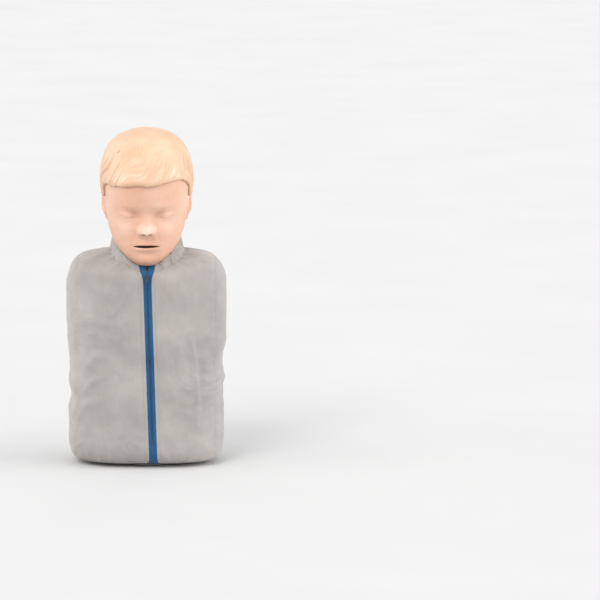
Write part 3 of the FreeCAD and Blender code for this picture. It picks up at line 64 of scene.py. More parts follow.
# Torso and jacket, in metres
CORE_Y = 0.006
FAN_Z = 0.290
HEM_Z = 0.0105
SEAM_X = 0.115
CLOTH = 0.0008
JACKET_OVER_SHELL = 0.002
ZIP_FOOT = (0.0110, 0.0130)
ZIP_HEAD = (0.0005, 0.3240)
V_FOOT_Z = 0.3150
V_OPEN_Z = 0.3270
V_TOP_Z = 0.3410
V_SPREAD = 0.0062
V_OPEN = 0.0046
TAPE_WIDTH = 0.0076
TEETH_LOW = 0.0480
TEETH_HIGH = 0.3210
TOOTH_PITCH = 0.0030
CHEST_Z = 0.205
DENT_HALF_X = 0.076
DENT_HALF_Z = 0.089
COLLAR_HALF_X = 0.062
COLLAR_FRONT = 0.066
COLLAR_BACK = 0.062
COLLAR_FLARE = 0.007
COLLAR_TOP_FRONT = 0.3365
COLLAR_TOP_BACK = 0.396
COLLAR_LEAN = 0.012

# Head, in millimetres in its own upright frame
NOD = math.radians(11.5)
PIVOT = (0.006, 0.392)
PIVOT_IN_HEAD = (16.0, 38.0)
HALF = 71.5
FRONT = 91.5
BACK = 88.5
TOP = 200.0
NOSE_TIP_Z = 66.8
EYE_X = 29.0
EYE_Z = 88.8
MOUTH_Z = 38.8
MOUTH_SAG = 1.5
MOUTH_HALF = 23.0
MOUTH_OPEN = 3.0
HAIR_THICK = 5.5
HAIR_TOP_EXTRA = 3.0


def smoothstep(low, high, value):
    share = np.clip((np.asarray(value, float) - low) / (high - low), 0.0, 1.0)
    return share * share * (3 - 2 * share)


def bell(distance, width):
    return np.exp(-((np.asarray(distance, float) / width) ** 2))


LOW_BITS = 0xFFFFFFFF


def hashed(ix, iy, iz, seed):
    """A fixed pseudo-random number from -1 to 1 for each point of a lattice."""
    mixed = (ix * 73856093) ^ (iy * 19349663) ^ (iz * 83492791) ^ (seed * 40503)
    mixed = (mixed ^ (mixed >> 13)) & LOW_BITS
    mixed = (mixed * 1274126177) & LOW_BITS
    mixed = (mixed ^ (mixed >> 15)) & LOW_BITS
    mixed = (mixed * 668265263) & LOW_BITS
    return ((mixed >> 12) & 0xFFFF) / 32767.5 - 1


def noise(points, seed=0):
    """Smooth noise from about -1 to 1; points is an array of (..., 3)."""
    cell = np.floor(points).astype(np.int64)
    part = points - cell
    part = part * part * part * (part * (part * 6 - 15) + 10)
    total = 0.0
    for dx in (0, 1):
        wx = part[..., 0] if dx else 1 - part[..., 0]
        for dy in (0, 1):
            wy = part[..., 1] if dy else 1 - part[..., 1]
            for dz in (0, 1):
                wz = part[..., 2] if dz else 1 - part[..., 2]
                value = hashed(cell[..., 0] + dx, cell[..., 1] + dy, cell[..., 2] + dz, seed)
                total = total + wx * wy * wz * value
    return total


def ring_noise(angle, size, height, seed):
    """Noise that closes on itself round a turn: size sets how fine it is."""
    c, s = np.cos(angle) * size, np.sin(angle) * size
    return noise(np.stack([c, s, height + 0 * c], axis=-1), seed)


def turbulence(points, octaves, seed=0):
    total = 0.0
    for i in range(octaves):
        total = total + 0.5**i * noise(points * 2.0**i, seed + i)
    return total


def tree_of(*names):
    """The frame's nodes as one tree to cast rays at."""
    corners = []
    faces = []
    for name in names:
        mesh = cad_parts[name].data
        start = len(corners)
        corners.extend(v.co.copy() for v in mesh.vertices)
        faces.extend([start + i for i in p.vertices] for p in mesh.polygons)
    return BVHTree.FromPolygons(corners, faces)


def grid_faces(rows, cols, around=False, flip=False):
    """Quads of a grid of points, closed round its columns if around is set."""
    last = cols if around else cols - 1
    faces = []
    for row in range(0, (rows - 1) * cols, cols):
        for j in range(last):
            k = (j + 1) % cols
            quad = [row + j, row + k, row + cols + k, row + cols + j]
            faces.append(quad[::-1] if flip else quad)
    return faces


def new_object(name, points, faces, material, smooth=True):
    mesh = bpy.data.meshes.new(name)
    mesh.from_pydata([tuple(p) for p in points], [], faces)
    mesh.update()
    if smooth:
        mesh.polygons.foreach_set("use_smooth", [True] * len(mesh.polygons))
    mesh.materials.append(material)
    made = bpy.data.objects.new(name, mesh)
    bpy.context.scene.collection.objects.link(made)
    return made


def edit(made, change):
    """Runs a change on an object's mesh through bmesh."""
    work = bmesh.new()
    work.from_mesh(made.data)
    change(work)
    work.to_mesh(made.data)
    work.free()
    made.data.update()


def drop_loose(work):
    loose = [v for v in work.verts if not v.link_faces]
    bmesh.ops.delete(work, geom=loose, context="VERTS")


def face_outwards(work):
    bmesh.ops.recalc_face_normals(work, faces=work.faces[:])


def thicken(made, thickness):
    """Gives a sheet its thickness, inwards from the surface, as real faces."""
    shell = made.modifiers.new("thickness", "SOLIDIFY")
    shell.thickness = thickness
    shell.offset = -1
    shell.use_even_offset = False
    graph = bpy.context.evaluated_depsgraph_get()
    done = bpy.data.meshes.new_from_object(made.evaluated_get(graph))
    made.modifiers.clear()
    made.data = done


def coordinates(made):
    flat = np.empty(len(made.data.vertices) * 3)
    made.data.vertices.foreach_get("co", flat)
    return flat.reshape(-1, 3)


def mark(made, name, values):
    """Gives each point of a mesh a number that its material reads."""
    attribute = made.data.attributes.new(name, "FLOAT", "POINT")
    attribute.data.foreach_set("value", values.astype(np.float32))


def unit(ways):
    return ways / np.linalg.norm(ways, axis=-1, keepdims=True)


def surface_normals(points):
    """Unit normals of a grid of points, by its own differences."""
    normals = np.cross(np.gradient(points, axis=0), np.gradient(points, axis=1))
    return normals / np.maximum(np.linalg.norm(normals, axis=2, keepdims=True), 1e-12)


def dress(node):
    """Hides the frame's node that a piece stands for, where one is given."""
    if node:
        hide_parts(node)


def blended(made, weights):
    """A piece over a joint: its place is baked into its mesh.

    The weights are not used."""
    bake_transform(made)


def srgb(text):
    """A hex colour as linear values."""
    parts = [int(text[i : i + 2], 16) / 255 for i in (0, 2, 4)]
    return tuple(c / 12.92 if c <= 0.04045 else ((c + 0.055) / 1.055) ** 2.4 for c in parts) + (1.0,)


class Nodes:
    """A material's node tree, with short calls for what the finishes here need."""

    def __init__(self, name, roughness, **sockets):
        self.material = bpy.data.materials.new(name)
        self.material.use_nodes = True
        self.tree = self.material.node_tree
        self.shader = self.tree.nodes["Principled BSDF"]
        self.set(self.shader, Roughness=roughness, **sockets)
        self.place = self.tree.nodes.new("ShaderNodeTexCoord").outputs["Object"]
        self.bump_normal = None

    def put(self, socket, value):
        """A value for a socket: another node's output, a hex colour, a number or a vector."""
        if isinstance(value, bpy.types.NodeSocket):
            self.tree.links.new(value, socket)
        elif value is not None:
            socket.default_value = srgb(value) if isinstance(value, str) else value

    def set(self, node, **sockets):
        for name, value in sockets.items():
            self.put(node.inputs[name.replace("_", " ")], value)

    def node(self, kind, output, **sockets):
        node = self.tree.nodes.new(f"ShaderNode{kind}")
        self.set(node, **sockets)
        return node.outputs[output]

    def noise(self, scale, detail=3.0, rough=0.5, stretch=None, distortion=0.0):
        place = self.node("Mapping", "Vector", Vector=self.place, Scale=stretch) if stretch else self.place
        fineness = {"Scale": scale, "Detail": detail, "Roughness": rough, "Distortion": distortion}
        return self.node("TexNoise", "Fac", Vector=place, **fineness)

    def threads(self, direction, scale):
        node = self.tree.nodes.new("ShaderNodeTexWave")
        node.bands_direction = direction
        self.set(node, Vector=self.place, Scale=scale, Distortion=0.6, Detail_Scale=3.0)
        return node.outputs["Fac"]

    def math(self, kind, a, b):
        node = self.tree.nodes.new("ShaderNodeMath")
        node.operation = kind
        self.put(node.inputs[0], a)
        self.put(node.inputs[1], b)
        return node.outputs["Value"]

    def spread(self, value, low, high, to_low=0.0, to_high=1.0):
        ends = {"From_Min": low, "From_Max": high, "To_Min": to_low, "To_Max": to_high}
        return self.node("MapRange", "Result", Value=value, **ends)

    def ramp(self, value, *stops):
        node = self.tree.nodes.new("ShaderNodeValToRGB")
        ramp = node.color_ramp
        while len(ramp.elements) < len(stops):
            ramp.elements.new(0.5)
        for element, (place, colour) in zip(ramp.elements, stops):
            element.position = place
            element.color = srgb(colour)
        self.set(node, Fac=value)
        return node.outputs["Color"]

    def mix(self, share, a, b, kind="MIX"):
        node = self.tree.nodes.new("ShaderNodeMix")
        node.data_type = "RGBA"
        node.blend_type = kind
        for name, value, form in (("Factor", share, "VALUE"), ("A", a, "RGBA"), ("B", b, "RGBA")):
            self.put(next(s for s in node.inputs if s.name == name and s.type == form), value)
        return next(s for s in node.outputs if s.type == "RGBA")

    def marked(self, name):
        """The number that mark() gave each point."""
        node = self.tree.nodes.new("ShaderNodeAttribute")
        node.attribute_name = name
        return node.outputs["Fac"]

    def bump(self, height, distance, strength):
        sizes = {"Strength": strength, "Distance": distance, "Normal": self.bump_normal}
        self.bump_normal = self.node("Bump", "Normal", Height=height, **sizes)
        self.set(self.shader, Normal=self.bump_normal)


def cloth_material(name, light, mid, dark, thread, roughness, sheen):
    """Plain-woven cloth: threads both ways, soft mottling and a short nap."""
    n = Nodes(name, roughness, Sheen_Weight=sheen, Sheen_Roughness=0.6, Specular_IOR_Level=0.22)
    soft = n.noise(14.0, 4.0, 0.6)
    blotch = n.ramp(soft, (0.30, dark), (0.52, mid), (0.74, light))
    across, deep, up = (n.threads(way, 2 * math.pi / thread / 20) for way in "XYZ")
    weave = n.math("ADD", n.math("MAXIMUM", across, up), n.math("MULTIPLY", deep, 0.6))
    shade = n.ramp(n.spread(weave, 0.3, 1.6, 0.90, 1.04), (0.0, "D0D0D0"), (1.0, "FFFFFF"))
    rough = n.spread(soft, 0.3, 0.7, roughness - 0.05, roughness + 0.06)
    n.set(n.shader, Base_Color=n.mix(1.0, blotch, shade, "MULTIPLY"), Roughness=rough)
    n.bump(weave, 0.00012, 0.55)
    n.bump(n.noise(900.0, 2.0, 0.6), 0.00010, 0.5)
    n.bump(n.noise(60.0, 4.0, 0.55, stretch=(1.0, 1.0, 0.45)), 0.0006, 0.35)
    return n.material


def soft_vinyl(name, roughness, scatter, specular, coat, coat_rough, radius):
    """The shader that skin and hair share: vinyl with a little light inside it."""
    return Nodes(
        name,
        roughness,
        Subsurface_Weight=scatter,
        Subsurface_Scale=0.004,
        Subsurface_Radius=radius,
        Specular_IOR_Level=specular,
        Coat_Weight=coat,
        Coat_Roughness=coat_rough,
    )


def vinyl_material(name, light, mid, dark, roughness, scatter, blush=None):
    """Soft moulded vinyl with a matt sheen: fine grain and faint mottling."""
    n = soft_vinyl(name, roughness, scatter, 0.38, 0.05, 0.35, (1.0, 0.45, 0.3))
    base = n.ramp(n.noise(22.0, 4.0, 0.55), (0.28, dark), (0.5, mid), (0.72, light))
    if blush:
        base = n.mix(n.spread(n.noise(9.0, 2.0, 0.5), 0.42, 0.66, 0.0, 0.5), base, blush)
    # Painted light from the face's mark: painted highlights towards EAD0C0, painted shade towards B98A70
    pale = n.spread(n.marked("painted_light"), 0.0, 1.0)
    deep = n.spread(n.marked("painted_light"), 0.0, -1.0)
    toned = n.mix(deep, n.mix(pale, base, "EAD0C0"), "B98A70")
    rough = n.spread(n.noise(160.0, 3.0, 0.6), 0.3, 0.7, roughness - 0.06, roughness + 0.08)
    n.set(n.shader, Base_Color=toned, Roughness=rough)
    n.bump(n.noise(1500.0, 2.0, 0.6), 0.00006, 0.5)
    n.bump(n.node("TexVoronoi", "Distance", Vector=n.place, Scale=420.0), 0.00005, 0.25)
    return n.material


def hair_material():
    """Moulded hair of warm cream vinyl, with fine strand lines, painted shade in the hollows and painted
    highlights on the fringe's strands.
    """
    n = soft_vinyl("hair_vinyl", 0.42, 0.16, 0.42, 0.10, 0.3, (1.0, 0.6, 0.35))
    base = n.ramp(n.noise(18.0, 4.0, 0.6), (0.26, "CEA27E"), (0.5, "D8B294"), (0.76, "E0C0A5"))
    # Painted shade towards AE7E5C where the hair is hollow
    deep = n.spread(n.marked("hollow"), 0.0, 1.0, 0.0, 0.75)
    # Painted highlights towards F0DDCB along the fringe's combed strands
    highlight_share = n.spread(n.marked("painted_highlight"), 0.02, 0.9, 0.0, 0.55)
    rough = n.spread(n.noise(90.0, 3.0, 0.6), 0.3, 0.7, 0.34, 0.52)
    n.set(n.shader, Base_Color=n.mix(highlight_share, n.mix(deep, base, "AE7E5C"), "F0DDCB"), Roughness=rough)
    n.bump(n.noise(420.0, 3.0, 0.6, stretch=(1.0, 0.22, 0.16), distortion=0.4), 0.00035, 0.30)
    n.bump(n.noise(1400.0, 2.0, 0.6), 0.00005, 0.4)
    return n.material


def plastic_material(name, light, dark, roughness, grain=700.0, metallic=0.0, coat=0.0):
    """Moulded plastic, rubber or metal with a fine surface texture and rubbed places."""
    n = Nodes(name, roughness, Metallic=metallic, Coat_Weight=coat, Coat_Roughness=0.2)
    smooth, rough = max(0.04, roughness - 0.09), roughness + 0.11
    n.set(
        n.shader,
        Base_Color=n.ramp(n.noise(35.0, 5.0, 0.65), (0.32, dark), (0.70, light)),
        Roughness=n.spread(n.noise(120.0, 4.0, 0.6), 0.3, 0.7, smooth, rough),
    )
    n.bump(n.noise(grain, 2.0, 0.5), 0.00006, 0.45)
    n.bump(n.noise(24.0, 3.0, 0.5), 0.0003, 0.2)
    return n.material


JACKET = cloth_material("jacket_cloth", "ACA6A2", "A09A96", "938D89", 0.00075, 0.86, 0.32)
TAPE = cloth_material("zip_tape_cloth", "205E8C", "1A517C", "15446A", 0.0006, 0.74, 0.10)
THREAD = cloth_material("sewing_thread", "A39D99", "97918D", "8B8581", 0.0004, 0.7, 0.2)
SKIN = vinyl_material("face_vinyl", "DFBAA3", "D9B098", "D2A58B", 0.46, 0.20, blush="D69F87")
NECK_SKIN = vinyl_material("neck_vinyl", "CFA68E", "C69B82", "BC9076", 0.5, 0.15)
HAIR = hair_material()
TEETH = plastic_material("zip_coil", "2B4A66", "1C3348", 0.38, 900.0)
SLIDER = plastic_material("zip_slider_paint", "31536F", "1F3A52", 0.32, 900.0, 0.35, 0.3)
CLIP = plastic_material("clip_plastic", "ACA6A1", "8E8883", 0.42)
SHELL = plastic_material("shell_plastic", "A7A29C", "928D87", 0.48)
DARK = plastic_material("dark_rubber", "2C1510", "190B08", 0.5)
# Painted shade for the inside of the lips' inward roll and of the nostrils
MOUTH_AND_NOSTRIL_SHADE = plastic_material("mouth_and_nostril_shade", "5A352B", "482820", 0.5)
GREY = plastic_material("inner_plastic", "B9BCC0", "9EA2A6", 0.45)
FILM = plastic_material("bag_film", "E8ECEF", "D3D9DE", 0.25, 300.0, 0.0, 0.4)
STEEL = plastic_material("spring_steel", "B9BBBE", "8D9094", 0.28, 1200.0, 1.0)
BRASS = plastic_material("contact_brass", "CDA95A", "A88238", 0.3, 1200.0, 1.0)
BOARD = plastic_material("circuit_board", "2F7A4B", "1F5B36", 0.4, 900.0, 0.0, 0.3)
BATTERY = plastic_material("battery_sleeve", "4A4E55", "2E3137", 0.35, 600.0, 0.1, 0.3)
LENS = plastic_material("lamp_lens", "E9F2E4", "CFE0C6", 0.12, 300.0, 0.0, 0.5)
BUTTON = plastic_material("button_rubber", "4B7FA6", "376A92", 0.5)

CARRIED = {
    GREY: "front_frame chest_plate plunger spring_guide neck_base neck_column sensor_housing skull jaw",
    STEEL: "clicker_leaf neck_screws pivot_pin jaw_pins",
    SHELL: "back_shell sensor_cover battery_door",
    DARK: "power_switch mouthpiece",
    SLIDER: "zip_slider zip_pull",
    CLIP: "lower_clip",
    TEETH: "zip_stop",
    NECK_SKIN: "neck_skin",
    BOARD: "circuit_board",
    BATTERY: "batteries",
    BRASS: "battery_contacts",
    BUTTON: "power_button",
    LENS: "light_pipe",
}
for finish, names in CARRIED.items():
    for name in names.split():
        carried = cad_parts[name]
        if not carried.material_slots:
            carried.data.materials.append(finish)
        for material_slot in carried.material_slots:
            material_slot.material = finish

# The jacket: five panels over the torso, each a grid of points on the frame's cloth surface

ROW_STEP = 0.0020
FAN_TURNS = 92
RAY_FROM = 0.3
RAY_EDGE_X = 0.1148
NECK_REACH = 0.055
COLLAR_ROOM = 0.006
SHELL_SLACK = 0.0015
SLIP = 0.0012
CLOTH_EASE = 0.0004
PANEL_LIFT = 0.0002
PANEL_CLOTH = CLOTH * 0.6
ZIP_GAP = 0.0070
FRONT_COLS = 56
BACK_COLS = 112
# A row and a column whose face shows which way a panel's normals point
PROBE = (60, 20)
SIDE_COLS = 30

JACKET_PARTS = ("front_right", "front_left", "side_right", "side_left", "back")
cloth_tree = tree_of(*(f"jacket_{part}" for part in JACKET_PARTS))
shell_tree = tree_of("back_shell", "chest_skin", "lower_clip")


def zip_x(z):
    share = (z - ZIP_FOOT[1]) / (ZIP_HEAD[1] - ZIP_FOOT[1])
    return ZIP_FOOT[0] + share * (ZIP_HEAD[0] - ZIP_FOOT[0])


def zip_edges(z):
    """How far the outer edges of the tapes spread at z, towards the chin."""
    return np.clip((z - V_FOOT_Z) / (V_TOP_Z - V_FOOT_Z), 0, 1.4) * V_SPREAD


def meridian():
    """Rows from the hem up the front, over the shoulder and down the back: (z of the ray's
    start, angle of the ray in the side view)."""
    count = int(round((FAN_Z - HEM_Z) / ROW_STEP))
    levels = [HEM_Z + (FAN_Z - HEM_Z) * i / count for i in range(count + 1)]
    fan = [(FAN_Z, math.pi * i / FAN_TURNS) for i in range(1, FAN_TURNS)]
    return [(z, 0.0) for z in levels] + fan + [(z, math.pi) for z in levels[::-1]]


ALL_ROWS = meridian()
TOP_ROW = len(ALL_ROWS) // 2
FRONT_ROWS = ALL_ROWS[: TOP_ROW + 1]
BACK_ROWS = ALL_ROWS[TOP_ROW:]


def row_ray(x, row):
    """The middle of a row at x, and the way out from it."""
    z, angle = row
    return Vector((x, CORE_Y, z)), Vector((0, -math.cos(angle), math.sin(angle)))


def reach_of(tree, middle, way, over=0.0):
    """How far out a tree's face lies along a ray, and over more; 0 where the ray misses it."""
    hit = tree.ray_cast(middle + way * RAY_FROM, -way)[0]
    return (hit - middle).dot(way) + over if hit else 0.0


def side_cast(x, row):
    """The jacket's outer face at x, along a row's ray from outside."""
    middle, way = row_ray(x, row)
    reach = reach_of(cloth_tree, middle, way)
    shell = reach_of(shell_tree, middle, way, JACKET_OVER_SHELL)
    if abs(x) < COLLAR_HALF_X + COLLAR_ROOM:
        shell = max(shell, NECK_REACH)
    return middle + way * (shell if reach < shell - SHELL_SLACK else reach)


def clean_reach(points, rows):
    """Takes out the odd ray that slipped between two panels."""
    for line, (z, angle) in zip(points, rows):
        way = np.array([0, -math.cos(angle), math.sin(angle)])
        reach = (line - np.array([0, CORE_Y, z])) @ way
        for j in range(1, len(reach) - 1):
            near = 0.5 * (reach[j - 1] + reach[j + 1])
            if abs(reach[j] - near) > SLIP and abs(reach[j - 1] - reach[j + 1]) < 2 * SLIP:
                line[j] += way * (near - reach[j])
    return points


def panel_points(rows, left, right, cols):
    """A grid between two borders, each an x for every row."""
    points = np.zeros((len(rows), cols, 3))
    for i, row in enumerate(rows):
        for j in range(cols):
            x = left[i] + (right[i] - left[i]) * j / (cols - 1)
            points[i, j] = side_cast(float(np.clip(x, -RAY_EDGE_X, RAY_EDGE_X)), row)
            points[i, j, 0] = x
    return clean_reach(points, rows)


def segment_fold(x, z, start, end, width, height):
    """A soft ridge along a line in the front view, fading at both ends."""
    way = np.array([end[0] - start[0], end[1] - start[1]])
    length = np.linalg.norm(way)
    way = way / length
    along = (x - start[0]) * way[0] + (z - start[1]) * way[1]
    off = (x - start[0]) * way[1] - (z - start[1]) * way[0]
    fade = smoothstep(-0.15, 0.25, along / length) * smoothstep(1.15, 0.75, along / length)
    return height * np.where(off > 0, bell(off, width * 1.8), bell(off, width)) * fade


# Ridges seen from the front: (x, z), (x, z), width, height
FRONT_FOLDS = [
    ((0.0735, 0.220), (0.0800, 0.168), 0.0034, 0.00240),
    ((0.0800, 0.170), (0.0855, 0.101), 0.0034, 0.00270),
    ((0.0850, 0.104), (0.0815, 0.066), 0.0032, 0.00210),
    ((-0.1040, 0.160), (-0.0780, 0.196), 0.0050, 0.00195),
    ((-0.0980, 0.140), (-0.0640, 0.158), 0.0048, 0.00150),
    ((-0.1050, 0.122), (-0.0850, 0.150), 0.0040, 0.00180),
    ((-0.1040, 0.104), (-0.0700, 0.118), 0.0055, 0.00135),
    ((-0.1000, 0.232), (-0.0700, 0.214), 0.0060, 0.00120),
    ((0.1060, 0.176), (0.0560, 0.196), 0.0058, 0.00165),
    ((0.1040, 0.150), (0.0640, 0.128), 0.0052, 0.00150),
    ((0.1020, 0.118), (0.0480, 0.108), 0.0060, 0.00135),
    ((0.0340, 0.104), (0.0860, 0.084), 0.0060, 0.00120),
    ((0.0200, 0.230), (0.0620, 0.200), 0.0080, 0.00105),
    ((-0.0960, 0.310), (-0.0520, 0.290), 0.0080, 0.00135),
    ((0.0920, 0.316), (0.0500, 0.296), 0.0080, 0.00135),
    ((-0.0300, 0.060), (-0.0900, 0.050), 0.0070, 0.00120),
]
# Dents in the outline at the waist, and swells where the depth is below 0:
# side, z, half height of the place, depth
WAIST_DENTS = [
    (-1, 0.112, 0.010, 0.0042),
    (-1, 0.088, 0.012, -0.0022),
    (-1, 0.138, 0.012, -0.0020),
    (1, 0.172, 0.014, 0.0050),
    (1, 0.140, 0.014, -0.0024),
    (1, 0.204, 0.014, -0.0026),
]


def soft_folds(points):
    """The broad folds, and the sharper creases of the belly."""
    warp = noise(points * 11.0, 71)[..., None] * np.array([1.4, 0.8, 2.2])
    soft = 0.0011 * turbulence(points * np.array([26.0, 20.0, 15.0]) + warp, 3, 5)
    ridged = 1 - np.abs(noise(points * np.array([34.0, 26.0, 21.0]) + warp * 1.6, 23)) * 2
    belly = smoothstep(0.30, 0.16, np.abs(points[..., 2] - 0.13))
    waist = bell(points[..., 2] - 0.150, 0.052) * smoothstep(0.070, 0.118, np.abs(points[..., 0]))
    gathered = 0.0013 * noise(points * np.array([16.0, 16.0, 62.0]) + warp, 37) * waist
    return soft + 0.0012 * np.clip(ridged, 0, 1) ** 2 * belly + gathered


def seam_puckers(points):
    """The line that each side seam draws in, and the puckers beside it."""
    away = np.abs(np.abs(points[..., 0]) - SEAM_X)
    below_yoke = smoothstep(0.345, 0.315, points[..., 2])
    pucker = noise(points * np.array([30.0, 30.0, 105.0]), 31) + 0.5 * noise(points * 190.0, 33)
    return (0.0013 * pucker * np.exp(-away / 0.009) - 0.0009 * np.exp(-away / 0.0032)) * below_yoke


def edge_gathers(points):
    """The gathers over the elastic hem and round the collar's foot, and the shoulder seam."""
    x, y, z = points[..., 0], points[..., 1], points[..., 2]
    turn = np.arctan2(y - CORE_Y, x * 0.62)
    hem = ring_noise(turn, 9.5, z * 16.0, 41) + 0.6 * ring_noise(turn, 19.95, z * 33.6, 43)
    relief = 0.0022 * hem * np.exp(-np.clip(z - 0.006, 0, 1) / 0.016)
    from_neck = np.hypot(x / COLLAR_HALF_X, (y + 0.004) / 0.068) * 0.066 - 0.066
    spoke = np.arctan2(y, x)
    neck = ring_noise(spoke, 7.0, from_neck * 18.0, 47) + 0.6 * ring_noise(spoke, 14.0, from_neck * 36.0, 49)
    relief += 0.0024 * neck * np.exp(-np.clip(from_neck, 0, 1) / 0.020) * smoothstep(0.28, 0.31, z)
    return relief - 0.0006 * np.exp(-np.abs(y - CORE_Y) / 0.003) * smoothstep(0.33, 0.345, z)


def cloth_relief(points):
    """How far the cloth stands off its plain surface."""
    x, y, z = points[..., 0], points[..., 1], points[..., 2]
    relief = soft_folds(points) + seam_puckers(points) + edge_gathers(points)
    front = smoothstep(-0.030, -0.062, y)
    for fold in FRONT_FOLDS:
        relief += segment_fold(x, z, *fold) * front
    for side, centre, height, depth in WAIST_DENTS:
        relief -= depth * bell(z - centre, height) * smoothstep(0.095, 0.122, x * side)
    return above_shell(relief + CLOTH_EASE)


def above_shell(relief, floor=-0.0012, soft=0.0007):
    """Keeps the cloth off the shell under it: hollows level off softly."""
    return floor + soft * np.logaddexp(0, (relief - floor) / soft)


def inside_collar(points):
    """True for points well inside the collar's foot."""
    reach = np.hypot(points[..., 0] / (COLLAR_HALF_X + 0.002), (points[..., 1] + 0.003) / 0.0655)
    return (reach < 0.93) & (points[..., 2] > 0.27)


def folded_edge(points, normals, column, drop=0.0010, tuck=0.0022):
    """The cloth's folded edge at a border, as two more columns: turned down, and back under."""
    edge, normal = points[:, column], normals[:, column]
    back = np.array([-1.0 if column else 1.0, 0, 0])
    down = edge - normal * drop * 0.55 - back * 0.0003
    under = edge - normal * drop + back * tuck
    return np.stack([down, under], axis=1)


def make_panel(rows, left, right, cols):
    """A panel with both its borders folded under, its outer face alone, and the way out."""
    points = panel_points(rows, left, right, cols)
    normals = surface_normals(points)
    probe = (len(rows) // 3, cols // 2, 1)
    if normals[probe] * (points[probe] - CORE_Y) < 0:
        normals = -normals
    x, y, z = points[..., 0], points[..., 1], points[..., 2]
    off_tape = smoothstep(0.008, 0.020, np.abs(x - zip_x(z)))
    calm = np.where(y < CORE_Y, off_tape, 1.0)
    outer = points + normals * (cloth_relief(points) * calm + PANEL_LIFT)[..., None]
    left_edge = folded_edge(outer, normals, 0)[:, ::-1]
    right_edge = folded_edge(outer, normals, -1)
    return np.concatenate([left_edge, outer, right_edge], axis=1), outer, normals


def panel_object(name, points):
    faces = grid_faces(*points.shape[:2])
    centres = points.reshape(-1, 3)[np.array(faces)].mean(axis=1)
    kept = [f for f, gone in zip(faces, inside_collar(centres)) if not gone]
    made = new_object(name, points.reshape(-1, 3), kept, JACKET)
    edit(made, drop_loose)
    outward(made)
    return made


def outward(made):
    """Turns a sheet's faces so that most of them look away from the torso's middle."""
    away = 0.0
    for face in list(made.data.polygons)[:: max(1, len(made.data.polygons) // 400)]:
        away += face.normal.dot(face.center - Vector((0, CORE_Y, min(face.center.z, FAN_Z))))
    if away < 0:
        made.data.flip_normals()


def dent_weights(points):
    """How far each point of the front goes down with the chest plate."""
    across = smoothstep(1.0, 0.22, np.abs(points[:, 0]) / DENT_HALF_X)
    along = smoothstep(1.0, 0.28, np.abs(points[:, 2] - CHEST_Z) / DENT_HALF_Z)
    return across * along * smoothstep(-0.030, -0.060, points[:, 1])


def press_down(made):
    blended(made, dent_weights(coordinates(made)))


def add_panel(name, node, *shape):
    points, outer, normals = make_panel(*shape)
    made = panel_object(name, points)
    thicken(made, PANEL_CLOTH)
    dress(node)
    return made, outer, normals


zip_middle = zip_x(np.array([z + 0.058 * math.sin(angle) for z, angle in FRONT_ROWS]))
front_heights = np.array([z + 0.090 * math.tan(min(angle, 1.2)) for z, angle in FRONT_ROWS])
zip_gap = ZIP_GAP + zip_edges(front_heights)
panel_faces = {}
for side, word in SIDES:
    borders = [np.full(len(FRONT_ROWS), side * SEAM_X), zip_middle + side * zip_gap][::-side]
    node = f"jacket_front_{word}"
    panel, outer, normals = add_panel(f"front_panel_{word}", node, FRONT_ROWS, *borders, FRONT_COLS)
    panel_faces[word] = (outer, normals)
    press_down(panel)

back_edge = np.full(len(BACK_ROWS), SEAM_X)
panel, _, _ = add_panel("back_panel", "jacket_back", BACK_ROWS, -back_edge, back_edge, BACK_COLS)
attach(panel, "torso")


def make_side(side, word):
    """The narrow panel under an arm: from beneath both seams to the middle of the side."""
    tree = tree_of(f"jacket_side_{word}")
    strips = []
    for cast_x, x in ((0.1120, 0.1120), (0.1135, 0.1135), (RAY_EDGE_X, SEAM_X)):
        strips.append(np.array([side_cast(side * cast_x, row) for row in ALL_ROWS]))
        strips[-1][:, 0] = side * x
    border = strips[-1]
    centre = np.array([[0, CORE_Y, z] for z, _ in ALL_ROWS])
    for j in range(1, SIDE_COLS + 1):
        column = border + (centre - border) * (j / SIDE_COLS)
        for i in range(len(column)):
            start = Vector((side * RAY_FROM, column[i, 1], column[i, 2]))
            hit = tree.ray_cast(start, Vector((-side, 0, 0)))[0]
            column[i, 0] = hit.x if hit else strips[-1][i, 0]
        strips.append(column)
    points = np.stack(strips, axis=1)
    normals = surface_normals(points)
    if normals[PROBE][0] * side < 0:
        normals = -normals
    flat = np.abs(normals[:, -1, 0]) < 0.5
    normals[:, -1] = np.where(flat[:, None], np.array([side, 0, 0]), normals[:, -1])
    under_seam = np.zeros(points.shape[1])
    under_seam[:3] = (-0.0007, -0.0006, -0.0003)
    points = points + normals * (cloth_relief(points) + under_seam)[..., None]
    made = panel_object(f"side_panel_{word}", points)
    edit(made, lambda work: bmesh.ops.remove_doubles(work, verts=work.verts[:], dist=0.00035))
    outward(made)
    thicken(made, PANEL_CLOTH)
    dress(f"jacket_side_{word}")
    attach(made, "torso")


for side, word in SIDES:
    make_side(side, word)


# The head, worked out in millimetres in its own upright frame and then nodded into place

